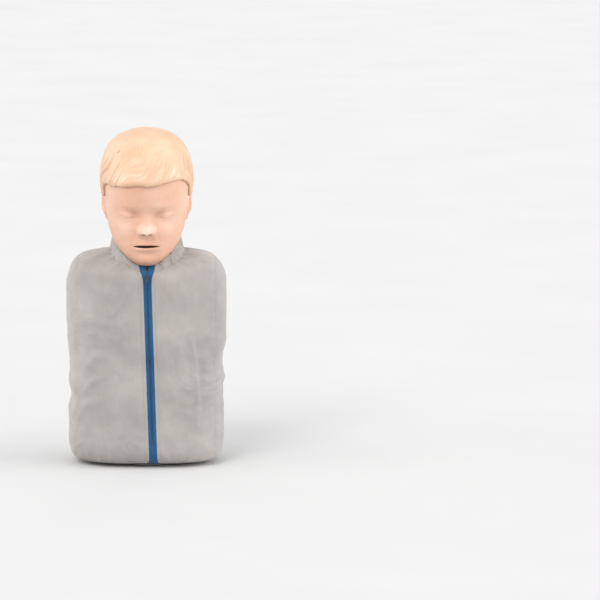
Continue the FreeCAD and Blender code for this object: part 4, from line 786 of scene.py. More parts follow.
# Height, half width, middle, length to the front and length to the back
HEAD_ROWS = np.array(
    [
        (0.0, 0.10 * HALF, -62, 5, 6),
        (1.5, 0.21 * HALF, -60, 14, 15),
        (4.0, 0.30 * HALF, -58, 19.5, 22),
        (9.0, 0.42 * HALF, -52, 29, 33),
        (16.0, 0.56 * HALF, -42, 41, 47),
        (26.0, 0.70 * HALF, -29, 55, 66),
        (37.0, 0.80 * HALF, -17, 68, 74),
        (50.0, 0.87 * HALF, -8, 77.5, 79),
        (64.0, 0.915 * HALF, -2, 84, 82),
        (80.0, 0.95 * HALF, 0, FRONT - 5.5, BACK - 4),
        (95.0, 0.97 * HALF, 0, FRONT - 3.5, BACK - 1.5),
        (110.0, 0.985 * HALF, 0, FRONT - 1, BACK),
        (125.0, HALF, 0, FRONT, BACK),
        (TOP - 57, HALF - 0.5, 0, FRONT - 1.5, BACK - 2),
        (TOP - 42, HALF - 3.5, 0, FRONT - 6, BACK - 6.5),
        (TOP - 29, HALF - 8.5, 0, FRONT - 13.5, BACK - 13.5),
        (TOP - 18, HALF - 16.5, 0, FRONT - 24.5, BACK - 23.5),
        (TOP - 10, HALF - 27, 0, FRONT - 37.5, BACK - 35.5),
        (TOP - 4, HALF - 41, 0, FRONT - 54.5, BACK - 51.5),
        (TOP - 1, HALF - 55, 0, FRONT - 71.5, BACK - 68.5),
        (TOP, HALF - 64, 0, FRONT - 82, BACK - 79),
    ]
)
# Height of a form, how far out to the side it is, its half width, its level, its half height
SKULL_FORMS = [(3.4, 30.0, 12.0, 90.5, 6.0), (-5.5, 23.0, 13.0, 95.0, 9.0)]
FACE_FORMS = {
    "nose tip": (2.2, 0.0, 8.0, NOSE_TIP_Z + 0.5, 6.5),
    "nose wings": (3.9, 11.5, 4.8, NOSE_TIP_Z - 3, 6.2),
    "grooves round the wings": (-1.1, 16.8, 2.2, NOSE_TIP_Z - 4, 6.0),
    "eye sockets": (-5.6, EYE_X - 7, 13.0, EYE_Z + 3.2, 9.0),
    "inner corners of the eyes": (-1.6, 17.5, 6.5, EYE_Z + 1.0, 6.5),
    "eyeballs": (3.4, EYE_X + 1, 12.0, EYE_Z + 0.5, 6.0),
    "brows": (1.4, EYE_X, 17.0, EYE_Z + 19, 8.0),
    "cheeks": (2.4, 37.0, 15.0, 60.0, 15.0),
    "mound round the mouth": (2.6, 0.0, 19.0, MOUTH_Z, 8.0),
    "hollow over the chin": (-2.0, 0.0, 17.0, MOUTH_Z - 15, 6.0),
    "chin": (3.4, 0.0, 15.0, 13.0, 9.0),
    "corners of the mouth": (-0.5, MOUTH_HALF + 2.2, 2.4, MOUTH_Z, 3.0),
}
# Painted highlights on the nose tip and the two cheeks, in the same columns as the forms above
PAINTED_HIGHLIGHTS = [
    (0.45, 0.0, 12.0, NOSE_TIP_Z + 4, 10.0),
    (0.35, 36.0, 16.0, 72.0, 18.0),
    (0.25, -38.0, 14.0, 72.0, 16.0),
]
# Painted shade in the eye sockets beside the nose, in the same columns
EYE_SHADE = [(0.60, 18.0, 9.0, EYE_Z + 2, 7.0)]
NOSE_RISE = 14.4
NOSE_LENGTH = 30.0
NOSE_UNDER = 14.0
LID_HALF = 13.0
SKIN_OVER_SKULL = 2.2
HAIR_UNDER = 1.8
HOLE_GAP = 1.6
FACE_TURN = math.radians(128)
MOUTH_BACK_Y = -40
LIP_DEPTH = 0.0070
LIP_CLOSING = 0.9
LIP_STEPS = 5
NOSTRIL = (5.2, -104.0, 61.2)
NOSTRIL_HALF = (3.0, 1.9)


def monotone(at, xs, ys):
    """A smooth curve through points that never overshoots them."""
    step = np.diff(xs)
    slope = np.diff(ys) / step
    pull = np.zeros(len(xs))
    same = slope[:-1] * slope[1:] > 0
    w1 = 2 * step[1:] + step[:-1]
    w2 = step[1:] + 2 * step[:-1]
    safe0 = np.where(same, slope[:-1], 1.0)
    safe1 = np.where(same, slope[1:], 1.0)
    pull[1:-1] = np.where(same, (w1 + w2) / (w1 / safe0 + w2 / safe1), 0.0)
    pull[0], pull[-1] = slope[0], slope[-1]
    at = np.clip(at, xs[0], xs[-1])
    i = np.clip(np.searchsorted(xs, at, side="right") - 1, 0, len(xs) - 2)
    h = step[i]
    t = (at - xs[i]) / h
    return (
        ys[i] * (1 + 2 * t) * (1 - t) ** 2
        + h * pull[i] * t * (1 - t) ** 2
        + ys[i + 1] * t * t * (3 - 2 * t)
        + h * pull[i + 1] * t * t * (t - 1)
    )


def forms_at(forms, across, level):
    """The sum of rounded forms, each as in the tables above, at a place of a surface."""
    return sum(
        height * bell(across - out, width) * bell(level - middle, tall)
        for height, out, width, middle, tall in forms
    )


def skull_relief(x, z):
    """How far the frame's skull dips behind the plain head, at the eyes."""
    ridge = 15.0 * (1 - np.clip((z - 70.0) / 30.0, 0, 1)) ** 1.35 * bell(x, 7.0)
    return np.minimum(0.0, ridge + forms_at(SKULL_FORMS, np.abs(x), z))


def painted_face_light(local):
    """Above 0 for painted highlights on the nose tip and cheeks, below 0 for painted shade on the lower chin
    and in the eye sockets.
    """
    x, y, z = local.T
    # Painted highlights, less painted shade on the lower chin and in the eye sockets
    painted_light = forms_at(PAINTED_HIGHLIGHTS, x, z) - 0.75 * smoothstep(32, 4, z) - forms_at(EYE_SHADE, np.abs(x), z)
    return np.clip(painted_light, -1, 1) * (y < -30)


def nose_ridge(x, z):
    up = (1 - np.clip((z - NOSE_TIP_Z) / NOSE_LENGTH, 0, 1)) ** 1.35
    curl = 0.5 + 0.5 * np.cos(math.pi * (NOSE_TIP_Z - z) / NOSE_UNDER)
    under = np.where(z > NOSE_TIP_Z - NOSE_UNDER, curl, 0.0)
    width = 7.4 + 2.6 * bell(z - NOSE_TIP_Z + 2, 9.0)
    return NOSE_RISE * np.where(z >= NOSE_TIP_Z, up, under) * np.exp(-((np.abs(x) / width) ** 2.4))


def closed_lids(x, z):
    """The line where the lids meet, the swell over and under it, and the crease above."""
    across = (np.abs(x) - EYE_X) / LID_HALF
    lid = EYE_Z - 3.4 + 2.3 * across**2 - 1.0 * across
    swell = 0.40 * bell(z - lid - 3.0, 2.8) + 0.20 * bell(z - lid + 2.0, 1.6) - 0.60 * bell(z - lid, 1.2)
    crease = 0.35 * bell(z - EYE_Z - 6.2 + 1.8 * across**2, 1.6) * smoothstep(1.1, 0.7, np.abs(across))
    return swell * smoothstep(1.12, 0.80, np.abs(across)) - crease


def lips_and_folds(x, z):
    """The two lips, the groove under the nose, and the folds from the nose to the mouth's ends."""
    side = np.abs(x)
    groove = smoothstep(MOUTH_Z + 5, MOUTH_Z + 8, z) * smoothstep(MOUTH_Z + 17, MOUTH_Z + 13, z)
    relief = (0.30 * bell(side - 4.2, 1.8) - 0.55 * bell(x, 2.6)) * groove
    fold = 15.5 + (NOSE_TIP_Z - 4 - z) * 0.34
    relief -= 0.40 * bell(side - fold, 2.6) * smoothstep(44, 50, z) * smoothstep(69, 64, z)
    lips = 0.55 * bell(z - (MOUTH_Z + 4.8), 2.6) + 0.6 * bell(z - (MOUTH_Z - 5.2), 3.0)
    return relief + lips * smoothstep(MOUTH_HALF + 1, MOUTH_HALF - 8, side)


def face_relief(x, z):
    """How far the face stands out from the plain head."""
    forms = forms_at(FACE_FORMS.values(), np.abs(x), z)
    relief = nose_ridge(x, z) + forms + closed_lids(x, z) + lips_and_folds(x, z)
    return np.maximum(relief, skull_relief(x, z) - SKIN_OVER_SKULL)


def head_surface(angle, z, grow=0.0, crown=0.0):
    """Points of the head, moved outwards by grow, for arrays of angles and heights."""
    half, middle, front, back = (monotone(z, HEAD_ROWS[:, 0], HEAD_ROWS[:, k]) for k in range(1, 5))
    c, s = np.cos(angle), np.sin(angle)
    x = half * np.sign(c) * np.abs(c) ** 0.94
    y = middle + np.where(s > 0, back, front) * s
    y = y - np.where(s < 0, face_relief(x, z) * np.clip(-2.2 * s, 0, 1), 0.0)
    points = np.stack([x, y, z + 0 * x], axis=-1)
    if np.any(np.asarray(grow) != 0) or crown:
        core = np.stack([np.zeros_like(x), middle * 0.6, np.clip(z, 40, 125)], axis=-1)
        way = points - core
        way = way / np.maximum(np.linalg.norm(way, axis=-1, keepdims=True), 1e-9)
        points = points + way * (np.asarray(grow) + crown * smoothstep(150, 195, z))[..., None]
    return points


def to_world(points):
    """Head millimetres to the resting place in metres."""
    dy = points[..., 1] - PIVOT_IN_HEAD[0]
    dz = points[..., 2] - PIVOT_IN_HEAD[1]
    y = PIVOT[0] * 1000 + dy * math.cos(NOD) - dz * math.sin(NOD)
    z = PIVOT[1] * 1000 + dy * math.sin(NOD) + dz * math.cos(NOD)
    return np.stack([points[..., 0], y, z], axis=-1) / 1000


def to_head(points):
    """Metres at rest back to head millimetres."""
    dy = points[..., 1] * 1000 - PIVOT[0] * 1000
    dz = points[..., 2] * 1000 - PIVOT[1] * 1000
    y = PIVOT_IN_HEAD[0] + dy * math.cos(NOD) + dz * math.sin(NOD)
    z = PIVOT_IN_HEAD[1] - dy * math.sin(NOD) + dz * math.cos(NOD)
    return np.stack([points[..., 0] * 1000, y, z], axis=-1)


def crowded(low, high, marks, plain, fine):
    """Levels from low to high, closer together near the marked ones."""
    levels = [low]
    while levels[-1] < high:
        near = min(abs(levels[-1] - m) / w for m, w in marks)
        levels.append(levels[-1] + fine + (plain - fine) * min(1.0, max(0.0, near - 1)))
    levels[-1] = high
    return np.array(levels)


def hole_gap(points):
    """Distance in millimetres from each point to the frame's face skin, or to the skin under
    its hair."""
    face_tree, hair_tree = tree_of("face_skin"), tree_of("hair_cap")
    gaps = []
    for point in to_world(points).reshape(-1, 3):
        at = Vector(point)
        to_face, to_hair = (tree.find_nearest(at)[3] * 1000 for tree in (face_tree, hair_tree))
        gaps.append(min(to_face, to_hair - HAIR_UNDER))
    return np.array(gaps)


def mouth_gap(x):
    """Half the height of the open mouth, in millimetres, above and below its line."""
    share = np.clip(np.abs(x) / MOUTH_HALF, 0, 1)
    body = (1 - share**2.4) ** 0.85
    bow = 0.55 * bell(np.abs(x) - 7.0, 5.0) - 0.25 * bell(x, 3.0)
    above = body * (0.85 * MOUTH_OPEN + 0.40 * bow)
    below = body * (0.95 * MOUTH_OPEN) * (1 - 0.22 * (x / MOUTH_HALF))
    return above, below


def open_mouth(points, levels, at):
    """Parts the two rows that meet at the lips, and lets the mouth's ends sag."""
    x, y = points[..., 0], points[..., 1]
    row = np.arange(len(levels))[:, None]
    ahead = y < MOUTH_BACK_Y
    above, below = mouth_gap(x)
    near = bell(levels[:, None] - MOUTH_Z, 6.5) * ahead
    shift = np.where(row > at, above, -below) * near
    shift = np.where(row == at, -below * ahead, shift)
    shift = np.where(row == at + 1, above * ahead, shift)
    ends = np.clip(np.abs(x) / MOUTH_HALF, 0, 1.2) ** 2
    points[..., 2] += shift - MOUTH_SAG * ends * near * smoothstep(-52, -72, y)


def make_face():
    levels = crowded(1.0, 166.0, [(MOUTH_Z, 9), (NOSE_TIP_Z - 4, 12), (EYE_Z, 9)], 1.5, 0.62)
    at = int(np.argmin(np.abs(levels - MOUTH_Z)))
    levels[at] = MOUTH_Z
    levels = np.insert(levels, at, MOUTH_Z)
    front = np.linspace(-1, 1, 230)
    front = front * (0.62 + 0.38 * np.abs(front)) * FACE_TURN - math.pi / 2
    behind = np.linspace(FACE_TURN - math.pi / 2, 1.5 * math.pi - FACE_TURN, 44)[1:-1]
    points = head_surface(*np.meshgrid(np.concatenate([front, behind]), levels))
    open_mouth(points, levels, at)
    points[..., 1] -= 0.10 * noise(points / 9.0, 61) * (points[..., 1] < -20)
    rows, cols = points.shape[:2]
    faces = grid_faces(rows, cols, around=True)
    corners = np.array(faces)
    flat = points.reshape(-1, 3)
    mids = flat[corners].mean(axis=1)
    between_lips = (corners[:, 0] // cols == at) & (np.abs(mids[:, 0]) < MOUTH_HALF - 0.15)
    slit = between_lips & (mids[:, 1] < MOUTH_BACK_Y)
    far = hole_gap(points)[corners].min(axis=1) > HOLE_GAP
    neck_hole = far & (mids[:, 1] > -58) & (mids[:, 2] < 60)
    kept = [f for f, out in zip(faces, slit | neck_hole) if not out]
    made = new_object("face", to_world(flat), kept, SKIN)
    # A second slot, for the painted shade in the mouth and nostrils
    made.data.materials.append(MOUTH_AND_NOSTRIL_SHADE)
    edit(made, finish_face)
    # The face's painted highlights and painted shade, which the skin material reads
    mark(made, "painted_light", painted_face_light(to_head(coordinates(made))))
    return made


def finish_face(work):
    """Closes the chin, turns the lips inwards, and smooths the border of the neck's hole."""
    drop_loose(work)
    bmesh.ops.remove_doubles(work, verts=work.verts[:], dist=0.00004)
    for loop in border_loops(work):
        local = to_head(np.array([v.co[:] for v in loop]))
        middle = local.mean(axis=0)
        if abs(middle[2] - MOUTH_Z) < 6 and middle[1] < -60:
            turn_in(work, loop)
        elif middle[2] < 30 and np.ptp(local[:, 2]) < 1.5 and middle[1] < -40:
            bmesh.ops.contextual_create(work, geom=loop)
        elif middle[2] < 100:
            smooth_loop(loop, 14)
    for side, _ in SIDES:
        nostril(work, side)
    face_outwards(work)


def border_loops(work):
    """Every open border, as an ordered list of its vertices, in the same order each run."""
    open_edges = dict.fromkeys(e for e in work.edges if len(e.link_faces) == 1)
    loops = []
    while open_edges:
        loop = list(open_edges.popitem()[0].verts)
        while following := [e for e in loop[-1].link_edges if e in open_edges]:
            del open_edges[following[0]]
            loop.append(following[0].other_vert(loop[-1]))
        if loop[0] == loop[-1]:
            loop.pop()
        loops.append(loop)
    return loops


def smooth_loop(loop, turns):
    for _ in range(turns):
        places = [v.co.copy() for v in loop]
        for i, v in enumerate(loop):
            v.co = 0.5 * places[i] + 0.25 * (places[i - 1] + places[(i + 1) % len(loop)])


def turn_in(work, loop):
    """The lips' edge, rolled over and back into the mouth."""
    inward = Vector((0, math.cos(NOD), math.sin(NOD)))
    middle = sum((v.co for v in loop), Vector()) / len(loop)
    previous = loop
    for step in range(1, LIP_STEPS + 1):
        share = step / LIP_STEPS
        ring = []
        for v in loop:
            narrowed = Vector((0, 0, (middle.z - v.co.z) * LIP_CLOSING * share))
            ring.append(work.verts.new(v.co + inward * (LIP_DEPTH * share) + narrowed))
        for i in range(len(loop)):
            j = (i + 1) % len(loop)
            face = work.faces.new([previous[i], previous[j], ring[j], ring[i]])
            face.smooth = True
            # Painted shade on the rows that turn into the mouth
            face.material_index = 1 if step > 1 else 0
        previous = ring


def nostril(work, side):
    """A tilted oval pit under the nose, with painted shade inside."""

    def place(point):
        local = to_head(np.array(point[:]))
        u = (local[0] - side * NOSTRIL[0]) / NOSTRIL_HALF[0]
        w = (local[2] - NOSTRIL[2]) / NOSTRIL_HALF[1] + side * u * 0.22
        return local, u * u + w * w

    centre = Vector(to_world(np.array([side * NOSTRIL[0], *NOSTRIL[1:]])))
    # Painted shade on the faces inside the nostril
    for face in work.faces:
        local, away = place(face.calc_center_median())
        if local[1] < -86 and away < 1.15:
            face.material_index = 1
    for v in work.verts:
        if (v.co - centre).length > 0.016:
            continue
        local, away = place(v.co)
        depth = math.exp(-(away**1.5))
        rim = math.exp(-((math.sqrt(away) - 1.5) ** 2) / 0.18)
        v.co = Vector(to_world(local + np.array([0, 3.6 * depth - 0.35 * rim, 2.4 * depth])))


def jaw_weights(points):
    """1 on the chin and lower lip, 0 on the rest of the face."""
    local = to_head(points)
    side = np.abs(local[:, 0])
    band = 0.25 + 12.0 * smoothstep(MOUTH_HALF - 5, MOUTH_HALF + 14, side)
    line = MOUTH_Z + 3.0 * smoothstep(MOUTH_HALF - 4, MOUTH_HALF + 22, side)
    line = line - MOUTH_SAG * np.clip(side / MOUTH_HALF, 0, 1) ** 2
    lower = smoothstep(line + band, line - band, local[:, 2])
    return lower * smoothstep(-14, -46, local[:, 1])


face = make_face()
dress("face_skin")
blended(face, jaw_weights(coordinates(face)))


# Ears, in a plane of their own: u forwards and v up from the middle of the ear

EAR_PLACE = (10.0, 79.0)
EAR_HALF = (14.0, 24.0)
EAR_LEAN = math.radians(-12)
EAR_FOOT_X = 66.0
EAR_AROUND = 72
EAR_FORMS = {
    "bowl": (-5.5, -2.0, 5.6, -2.5, 8.5),
    "hollow over the bowl": (-1.6, 0.5, 3.4, 11.0, 4.5),
    "flap": (3.0, -10.0, 2.8, -3.0, 4.6),
    "lobe": (1.2, 1.0, 6.0, -19.0, 4.5),
}
# Share of the ear's size and depth of each row behind its rim
EAR_BACK = [(1.025, -0.7), (1.03, -1.5), (1.0, -2.4), (0.92, -3.1), (0.80, -5.5), (0.62, -11.0)]


def ear_relief(u, v, r, phi):
    """The ear's own form: rim, groove, inner fold, bowl, flap and lobe."""
    rim = smoothstep(-1.15, -0.6, np.sin(phi) - 0.2 * np.cos(phi)) * (1 - 0.75 * bell(phi - 3.5, 0.5))
    rim = rim * (1 - 0.8 * bell(np.abs(phi - 4.71), 0.55))
    fold = smoothstep(-0.75, 0.1, np.cos(phi + 0.25))
    ridges = rim * (2.2 * bell(r - 0.90, 0.10) - 1.5 * bell(r - 0.72, 0.09))
    return ridges + 2.2 * fold * bell(r - 0.52, 0.11) + forms_at(EAR_FORMS.values(), u, v)


def ear_row(side, phi, r, drop, outside):
    """One ring of the ear: r is its share of the ear's size."""
    u = EAR_HALF[0] * r * np.cos(phi) * (1 - 0.12 * np.clip(-np.sin(phi), 0, 1) * r)
    u = u + 1.8 * np.clip(np.sin(phi), 0, 1) * r
    v = EAR_HALF[1] * r * np.sin(phi)
    off = 1.2 + 0.19 * (u + 14.0) + drop - 3.6 * smoothstep(-8, -22, v)
    if outside:
        off = off + ear_relief(u, v, r, phi)
    y = EAR_PLACE[0] + u * math.cos(EAR_LEAN) - v * math.sin(EAR_LEAN)
    z = EAR_PLACE[1] + u * math.sin(EAR_LEAN) + v * math.cos(EAR_LEAN)
    return np.stack([side * (EAR_FOOT_X + off), y, z], axis=-1)


def make_ear(side, word):
    phi = np.linspace(0, 2 * math.pi, EAR_AROUND, endpoint=False)
    front = [(r, 0.0, True) for r in [0.02, *np.linspace(0.08, 1.0, 30)]]
    back = [(r, drop, False) for r, drop in EAR_BACK]
    points = np.array([ear_row(side, phi, *row) for row in front + back])
    faces = grid_faces(*points.shape[:2], around=True, flip=side > 0)
    faces.append(list(range(EAR_AROUND))[::side])
    made = new_object(f"ear_{word}", to_world(points.reshape(-1, 3)), faces, SKIN)
    edit(made, face_outwards)
    dress(None)
    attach(made, "head")


for side, word in SIDES:
    make_ear(side, word)


# Moulded hair: rows from the crown to the hairline, with a rounded ledge at its edge

# The hairline in the side view: how far back, how high
HAIR_EDGE = np.array(
    [
        (-125.0, 143.6), (-88.0, 144.0), (-72.0, 143.2), (-58.0, 141.0), (-46.0, 136.5),
        (-38.0, 131.0), (-31.0, 124.0), (-27.5, 114.0), (-24.0, 105.0), (-16.0, 102.5),
        (-8.0, 102.0), (10.0, 101.5), (22.0, 97.0), (28.0, 88.0), (31.0, 74.0),
        (33.0, 54.0), (37.0, 38.0), (44.0, 29.0), (60.0, 28.5), (120.0, 28.5),
    ]
)
CROWN = (5.0, 30.0)
HAIR_AROUND = 400
HAIR_ROWS = 150
LEDGE = 4.2
NICK = (-45.5, -45.0)
NICK_DEPTH = 1.8


def plain_edge(y):
    return np.interp(y, HAIR_EDGE[:, 0], HAIR_EDGE[:, 1])


def edge_height(x, y):
    """The height of the hairline for a place on the head."""
    sweep = -7.5 * bell(x + 50, 24) + 3.0 * bell(x - 46, 20) - 1.5 * bell(x + 2, 20)
    ripple = 1.2 * noise(np.stack([x / 9.0, x * 0, x * 0 + 2.5], axis=-1), 81)
    return plain_edge(y) + smoothstep(-30, -60, y) * (sweep + ripple)


def edge_distance(points):
    """How far each point stands from the hairline, in the side view."""
    x, y, z = points.reshape(-1, 3).T
    flat = np.stack([y, z - (edge_height(x, y) - plain_edge(y))], axis=-1)
    best = np.full(len(flat), 1e9)
    for a, b in zip(HAIR_EDGE[:-1], HAIR_EDGE[1:]):
        way = b - a
        t = np.clip(((flat - a) @ way) / (way @ way), 0, 1)
        best = np.minimum(best, np.linalg.norm(flat - (a + t[:, None] * way), axis=1))
    return best.reshape(points.shape[:-1])


def hair_relief(points):
    """Locks and strands that run from the crown down to the fringe, sides and nape: their
    height, how much of a hollow a place is, and how much of a combed strand."""
    x, y, z = points[..., 0], points[..., 1], points[..., 2]
    around = np.arctan2(x - CROWN[0], -(y - CROWN[1]))
    down = np.hypot(np.hypot(x - CROWN[0], y - CROWN[1]), TOP - z)
    swirl = around + 0.28 * noise(points / 42.0, 91) + 0.55 * (down / 150.0) ** 2
    low = smoothstep(55, 120, down)
    amount = 0.16 + 0.84 * low * (smoothstep(10, 42, np.abs(x + 2)) * 0.65 + 0.35)
    locks = ring_noise(swirl, 5.5, down / 70, 93)
    tufts = ring_noise(swirl, 13, down / 44, 95)
    strands = ring_noise(swirl, 30, down / 26, 97)
    fine = ring_noise(swirl, 62, down / 20, 99)
    ridged = 1 - 2 * np.abs(tufts)
    relief = amount * (1.0 * locks + 0.75 * ridged + 0.62 * strands + 0.24 * fine)
    relief += 0.16 * noise(np.stack([x / 60, y / 7.0, z / 7.0], axis=-1), 101) * (1 - low)
    combing = np.clip(2.0 * strands + 0.7 * fine + 0.4 * tufts, 0, 1) * low
    return relief, amount * np.clip(-(0.7 * ridged + 0.6 * strands), 0, 1), combing


def highlight_places(x):
    """Where across the fringe the strands get a painted highlight: both sides, and less in the middle."""
    return np.clip(bell(x + 52, 20) + 0.8 * bell(x - 50, 15) + 0.5 * bell(x - 4, 16), 0, 1)


def hair_foot(angles):
    """The height of the hairline all round: each turn brings it closer to its own place."""
    outline = head_surface(angles, np.full(angles.shape, 110.0))
    foot = edge_height(outline[:, 0], outline[:, 1])
    for _ in range(3):
        outline = head_surface(angles, foot)
        foot = 0.5 * foot + 0.5 * edge_height(outline[:, 0], outline[:, 1])
    return foot


def make_hair():
    angles = np.linspace(0, 2 * math.pi, HAIR_AROUND, endpoint=False)
    share = np.linspace(0.0, 1.0, HAIR_ROWS)
    share = share * (0.55 + 0.45 * np.sin(share * math.pi / 2))
    share = share / share[-1]
    drop = 1 - np.cos(share * math.pi / 2)
    z = TOP - (TOP - hair_foot(angles)[None, :]) * drop[:, None]
    angle = np.repeat(angles[None, :], HAIR_ROWS, axis=0)
    scalp = head_surface(angle, z)
    away = edge_distance(scalp)
    away[-1] = 0.0
    roll = np.sqrt(np.clip(1 - (1 - np.clip(away / LEDGE, 0, 1)) ** 2, 0, 1))
    front = smoothstep(-40, -70, scalp[..., 1])
    lift, hollow, combing = hair_relief(scalp)
    # Painted highlight on the combed strands just behind the front hairline
    painted_highlight = combing * front * bell(away - 15, 9) * (0.25 + 0.75 * highlight_places(scalp[..., 0]))
    thick = HAIR_THICK - 0.6 + 1.6 * front * bell(away - 8, 6.5)
    grow = thick * roll + lift * smoothstep(0.5, 7.0, away) - 0.9 * (1 - roll)
    points = head_surface(angle, z, grow, HAIR_TOP_EXTRA)
    nick = bell(points[..., 0] - NICK[0], 1.7) * bell(points[..., 1] - NICK[1], 2.0) * (points[..., 2] > 150)
    points[..., 2] -= NICK_DEPTH * nick
    under = head_surface(angle[-1:], z[-1:] + 2.0, -1.5)
    faces = grid_faces(HAIR_ROWS + 1, HAIR_AROUND, around=True, flip=True)
    faces.append(list(range(HAIR_AROUND)))
    made = new_object("hair", to_world(np.concatenate([points, under]).reshape(-1, 3)), faces, HAIR)
    # Painted shade in the hollows between strands, in the nick, on the last rows that roll under at the
    # hairline and under the cap
    depth = np.maximum(hollow, np.clip(1.6 * nick, 0, 1))
    depth[-3:] = 0.6
    mark(made, "hollow", np.append(depth, np.full(HAIR_AROUND, 0.8)))
    mark(made, "painted_highlight", np.append(painted_highlight, np.zeros(HAIR_AROUND)))
    edit(made, face_outwards)
    return made


hair = make_hair()
dress("hair_cap")
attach(hair, "head")


# Collar, zip tapes, teeth, stitching and hem

COLLAR_AROUND = 240
COLLAR_ROWS = 26
COLLAR_THICK = 0.0021
COLLAR_HUG = 0.0105
COLLAR_SINK = 0.003
FOOT_FLARE = COLLAR_FLARE * 0.70
TOP_FLARE = COLLAR_FLARE * 0.12
FOOT_LOWEST = 0.318
FOOT_AT_ZIP = 0.3235
JAW_EASE = 0.0026
UNDER_JAW = 0.0012
TAPE_OVER_COLLAR = 0.0010
TAPE_THICK = 0.0007
TAPE_SHARES = np.array([0.0, 0.06, 0.18, 0.34, 0.5, 0.66, 0.82, 0.94, 1.0])
TAPE_ON_COLLAR_Z = 0.3250
TAPE_LEAVES_Z = 0.3190
ZIP_FACE_Y = -0.08386
ZIP_SEAM_IN = 0.0052
SIDE_SEAM_IN = 0.0028
STITCH_PITCH = 0.0031
STITCH_LENGTH = 0.0022
STITCH_LOWEST = 0.012
HEM_TURNS = 620
HEM_RING = 14
HEM_GAP = 0.0082
HEM_FRONT_Y = -0.074

jaw_tree = BVHTree.FromObject(face, bpy.context.evaluated_depsgraph_get())


def down_cast(x, y):
    """The height of the jacket's top face at (x, y)."""
    hit = shell_tree.ray_cast(Vector((x, y, 0.6)), Vector((0, 0, -1)))[0]
    return hit.z + JACKET_OVER_SHELL if hit else 0.34


def collar_top(x, y):
    """The height of the collar's top edge: it rises to the back, and stops under the jaw."""
    slope = (COLLAR_TOP_BACK - COLLAR_TOP_FRONT) / (COLLAR_BACK + COLLAR_FRONT)
    z = COLLAR_TOP_FRONT + slope * (y + COLLAR_FRONT) + 0.0055 * max(0.0, 1 - (y / 0.064) ** 2)
    z += COLLAR_HUG * max(0.0, 1 - ((y + 0.030) / 0.048) ** 2)
    z -= 0.009 * smoothstep(-0.030, 0.020, y)
    hit = jaw_tree.ray_cast(Vector((x * 0.985, y * 0.985, 0.25)), Vector((0, 0, 1)))[0]
    return min(z, hit.z - UNDER_JAW) if hit and hit.z < 0.42 else z


def beside_jaw(x, y, z):
    """The collar's top edge at (x, y), drawn in towards the jaw at the front and sides."""
    reach = math.hypot(x, y)
    way = Vector((x / reach, y / reach, 0))
    hit = jaw_tree.ray_cast(Vector((0, 0, z)) + way * 0.2, -way)[0]
    if hit is None or hit.xy.length >= reach:
        return x, y
    near = max(hit.xy.length + JAW_EASE, 0.74 * reach)
    share = float(smoothstep(0.046, 0.012, y)) * float(smoothstep(0.010, 0.026, abs(x)))
    kept = min(1.0, near / reach) * share + 1 - share
    return x * kept, y * kept


def collar_point(angle, share):
    """A point of the collar: share is 0 at its foot and 1 at its top edge."""
    c, s = math.cos(angle), math.sin(angle)
    depth = COLLAR_BACK if s > 0 else COLLAR_FRONT
    x0 = (COLLAR_HALF_X + FOOT_FLARE) * c
    forward = bell(x0, 0.036) * (s < 0)
    y0 = (depth + FOOT_FLARE) * s - COLLAR_LEAN * 0.12 - 0.0102 * forward
    z0 = down_cast(x0 * 0.985, y0 * 0.985) if y0 > -0.060 else 0.0
    if z0 < FOOT_LOWEST:
        z0 = FOOT_AT_ZIP + 0.013 * min(1.0, abs(x0) / 0.055) ** 2
    z0 -= COLLAR_SINK
    x1 = (COLLAR_HALF_X + TOP_FLARE) * c
    y1 = (depth + TOP_FLARE) * s + COLLAR_LEAN * 0.32 - 0.0075 * forward
    z1 = collar_top(x1, y1)
    x1, y1 = beside_jaw(x1, y1, z1)
    belly = math.sin(math.pi * share) * 0.0016
    bend = share**0.8
    return x0 + (x1 - x0) * bend + belly * c, y0 + (y1 - y0) * bend + belly * s, z0 + (z1 - z0) * share


def collar_relief(outer, angles, shares):
    """Slanting creases, and the rolls along the collar's foot and top edge."""
    spoke, high = np.meshgrid(angles, shares)
    slant = spoke + 0.315 * (high - 0.5) * np.sign(np.cos(spoke))
    creases = 0.0021 * ring_noise(slant, 6.5, high * 1.2, 111)
    creases += 0.0011 * ring_noise(slant, 14, high * 2.2, 113)
    body = np.sin(np.clip(high, 0, 1) * math.pi) ** 0.7
    relief = creases * body * (0.35 + 0.65 * smoothstep(0.030, -0.020, outer[..., 1]))
    relief += 0.0007 * noise(outer * 55.0, 115) * body
    relief += 0.0011 * bell(high - 0.04, 0.05) - 0.0010 * bell(high - 0.12, 0.035)
    relief += 0.0006 * bell(high - 0.955, 0.035) - 0.0004 * bell(high - 0.88, 0.02)
    edge = np.minimum(spoke - angles[0], angles[-1] - spoke)
    return relief * (smoothstep(0.0, 0.10, edge) * 0.8 + 0.2)


def collar_face():
    """The collar's outer face, open at the zip, and the way out from it."""
    lean = ZIP_HEAD[0] / COLLAR_HALF_X
    angles = np.linspace(-math.pi / 2 + lean, 1.5 * math.pi + lean, COLLAR_AROUND)
    shares = np.linspace(0, 1, COLLAR_ROWS)
    outer = []
    for share in shares:
        squeeze = 1 - math.asin((0.0088 + 0.0040 * share) / COLLAR_HALF_X) / math.pi
        row = math.pi / 2 + lean + (angles - math.pi / 2 - lean) * squeeze
        outer.append([collar_point(angle, share) for angle in row])
    outer = np.array(outer)
    normals = surface_normals(outer)
    if normals[COLLAR_ROWS // 2 - 1, COLLAR_AROUND // 2, 1] < 0:
        normals = -normals
    outer = outer + normals * collar_relief(outer, angles, shares)[..., None]
    outer[..., 2] += 0.0009 * ring_noise(angles, 6, 0.0, 117)[None, :] * shares[:, None]
    return outer, normals


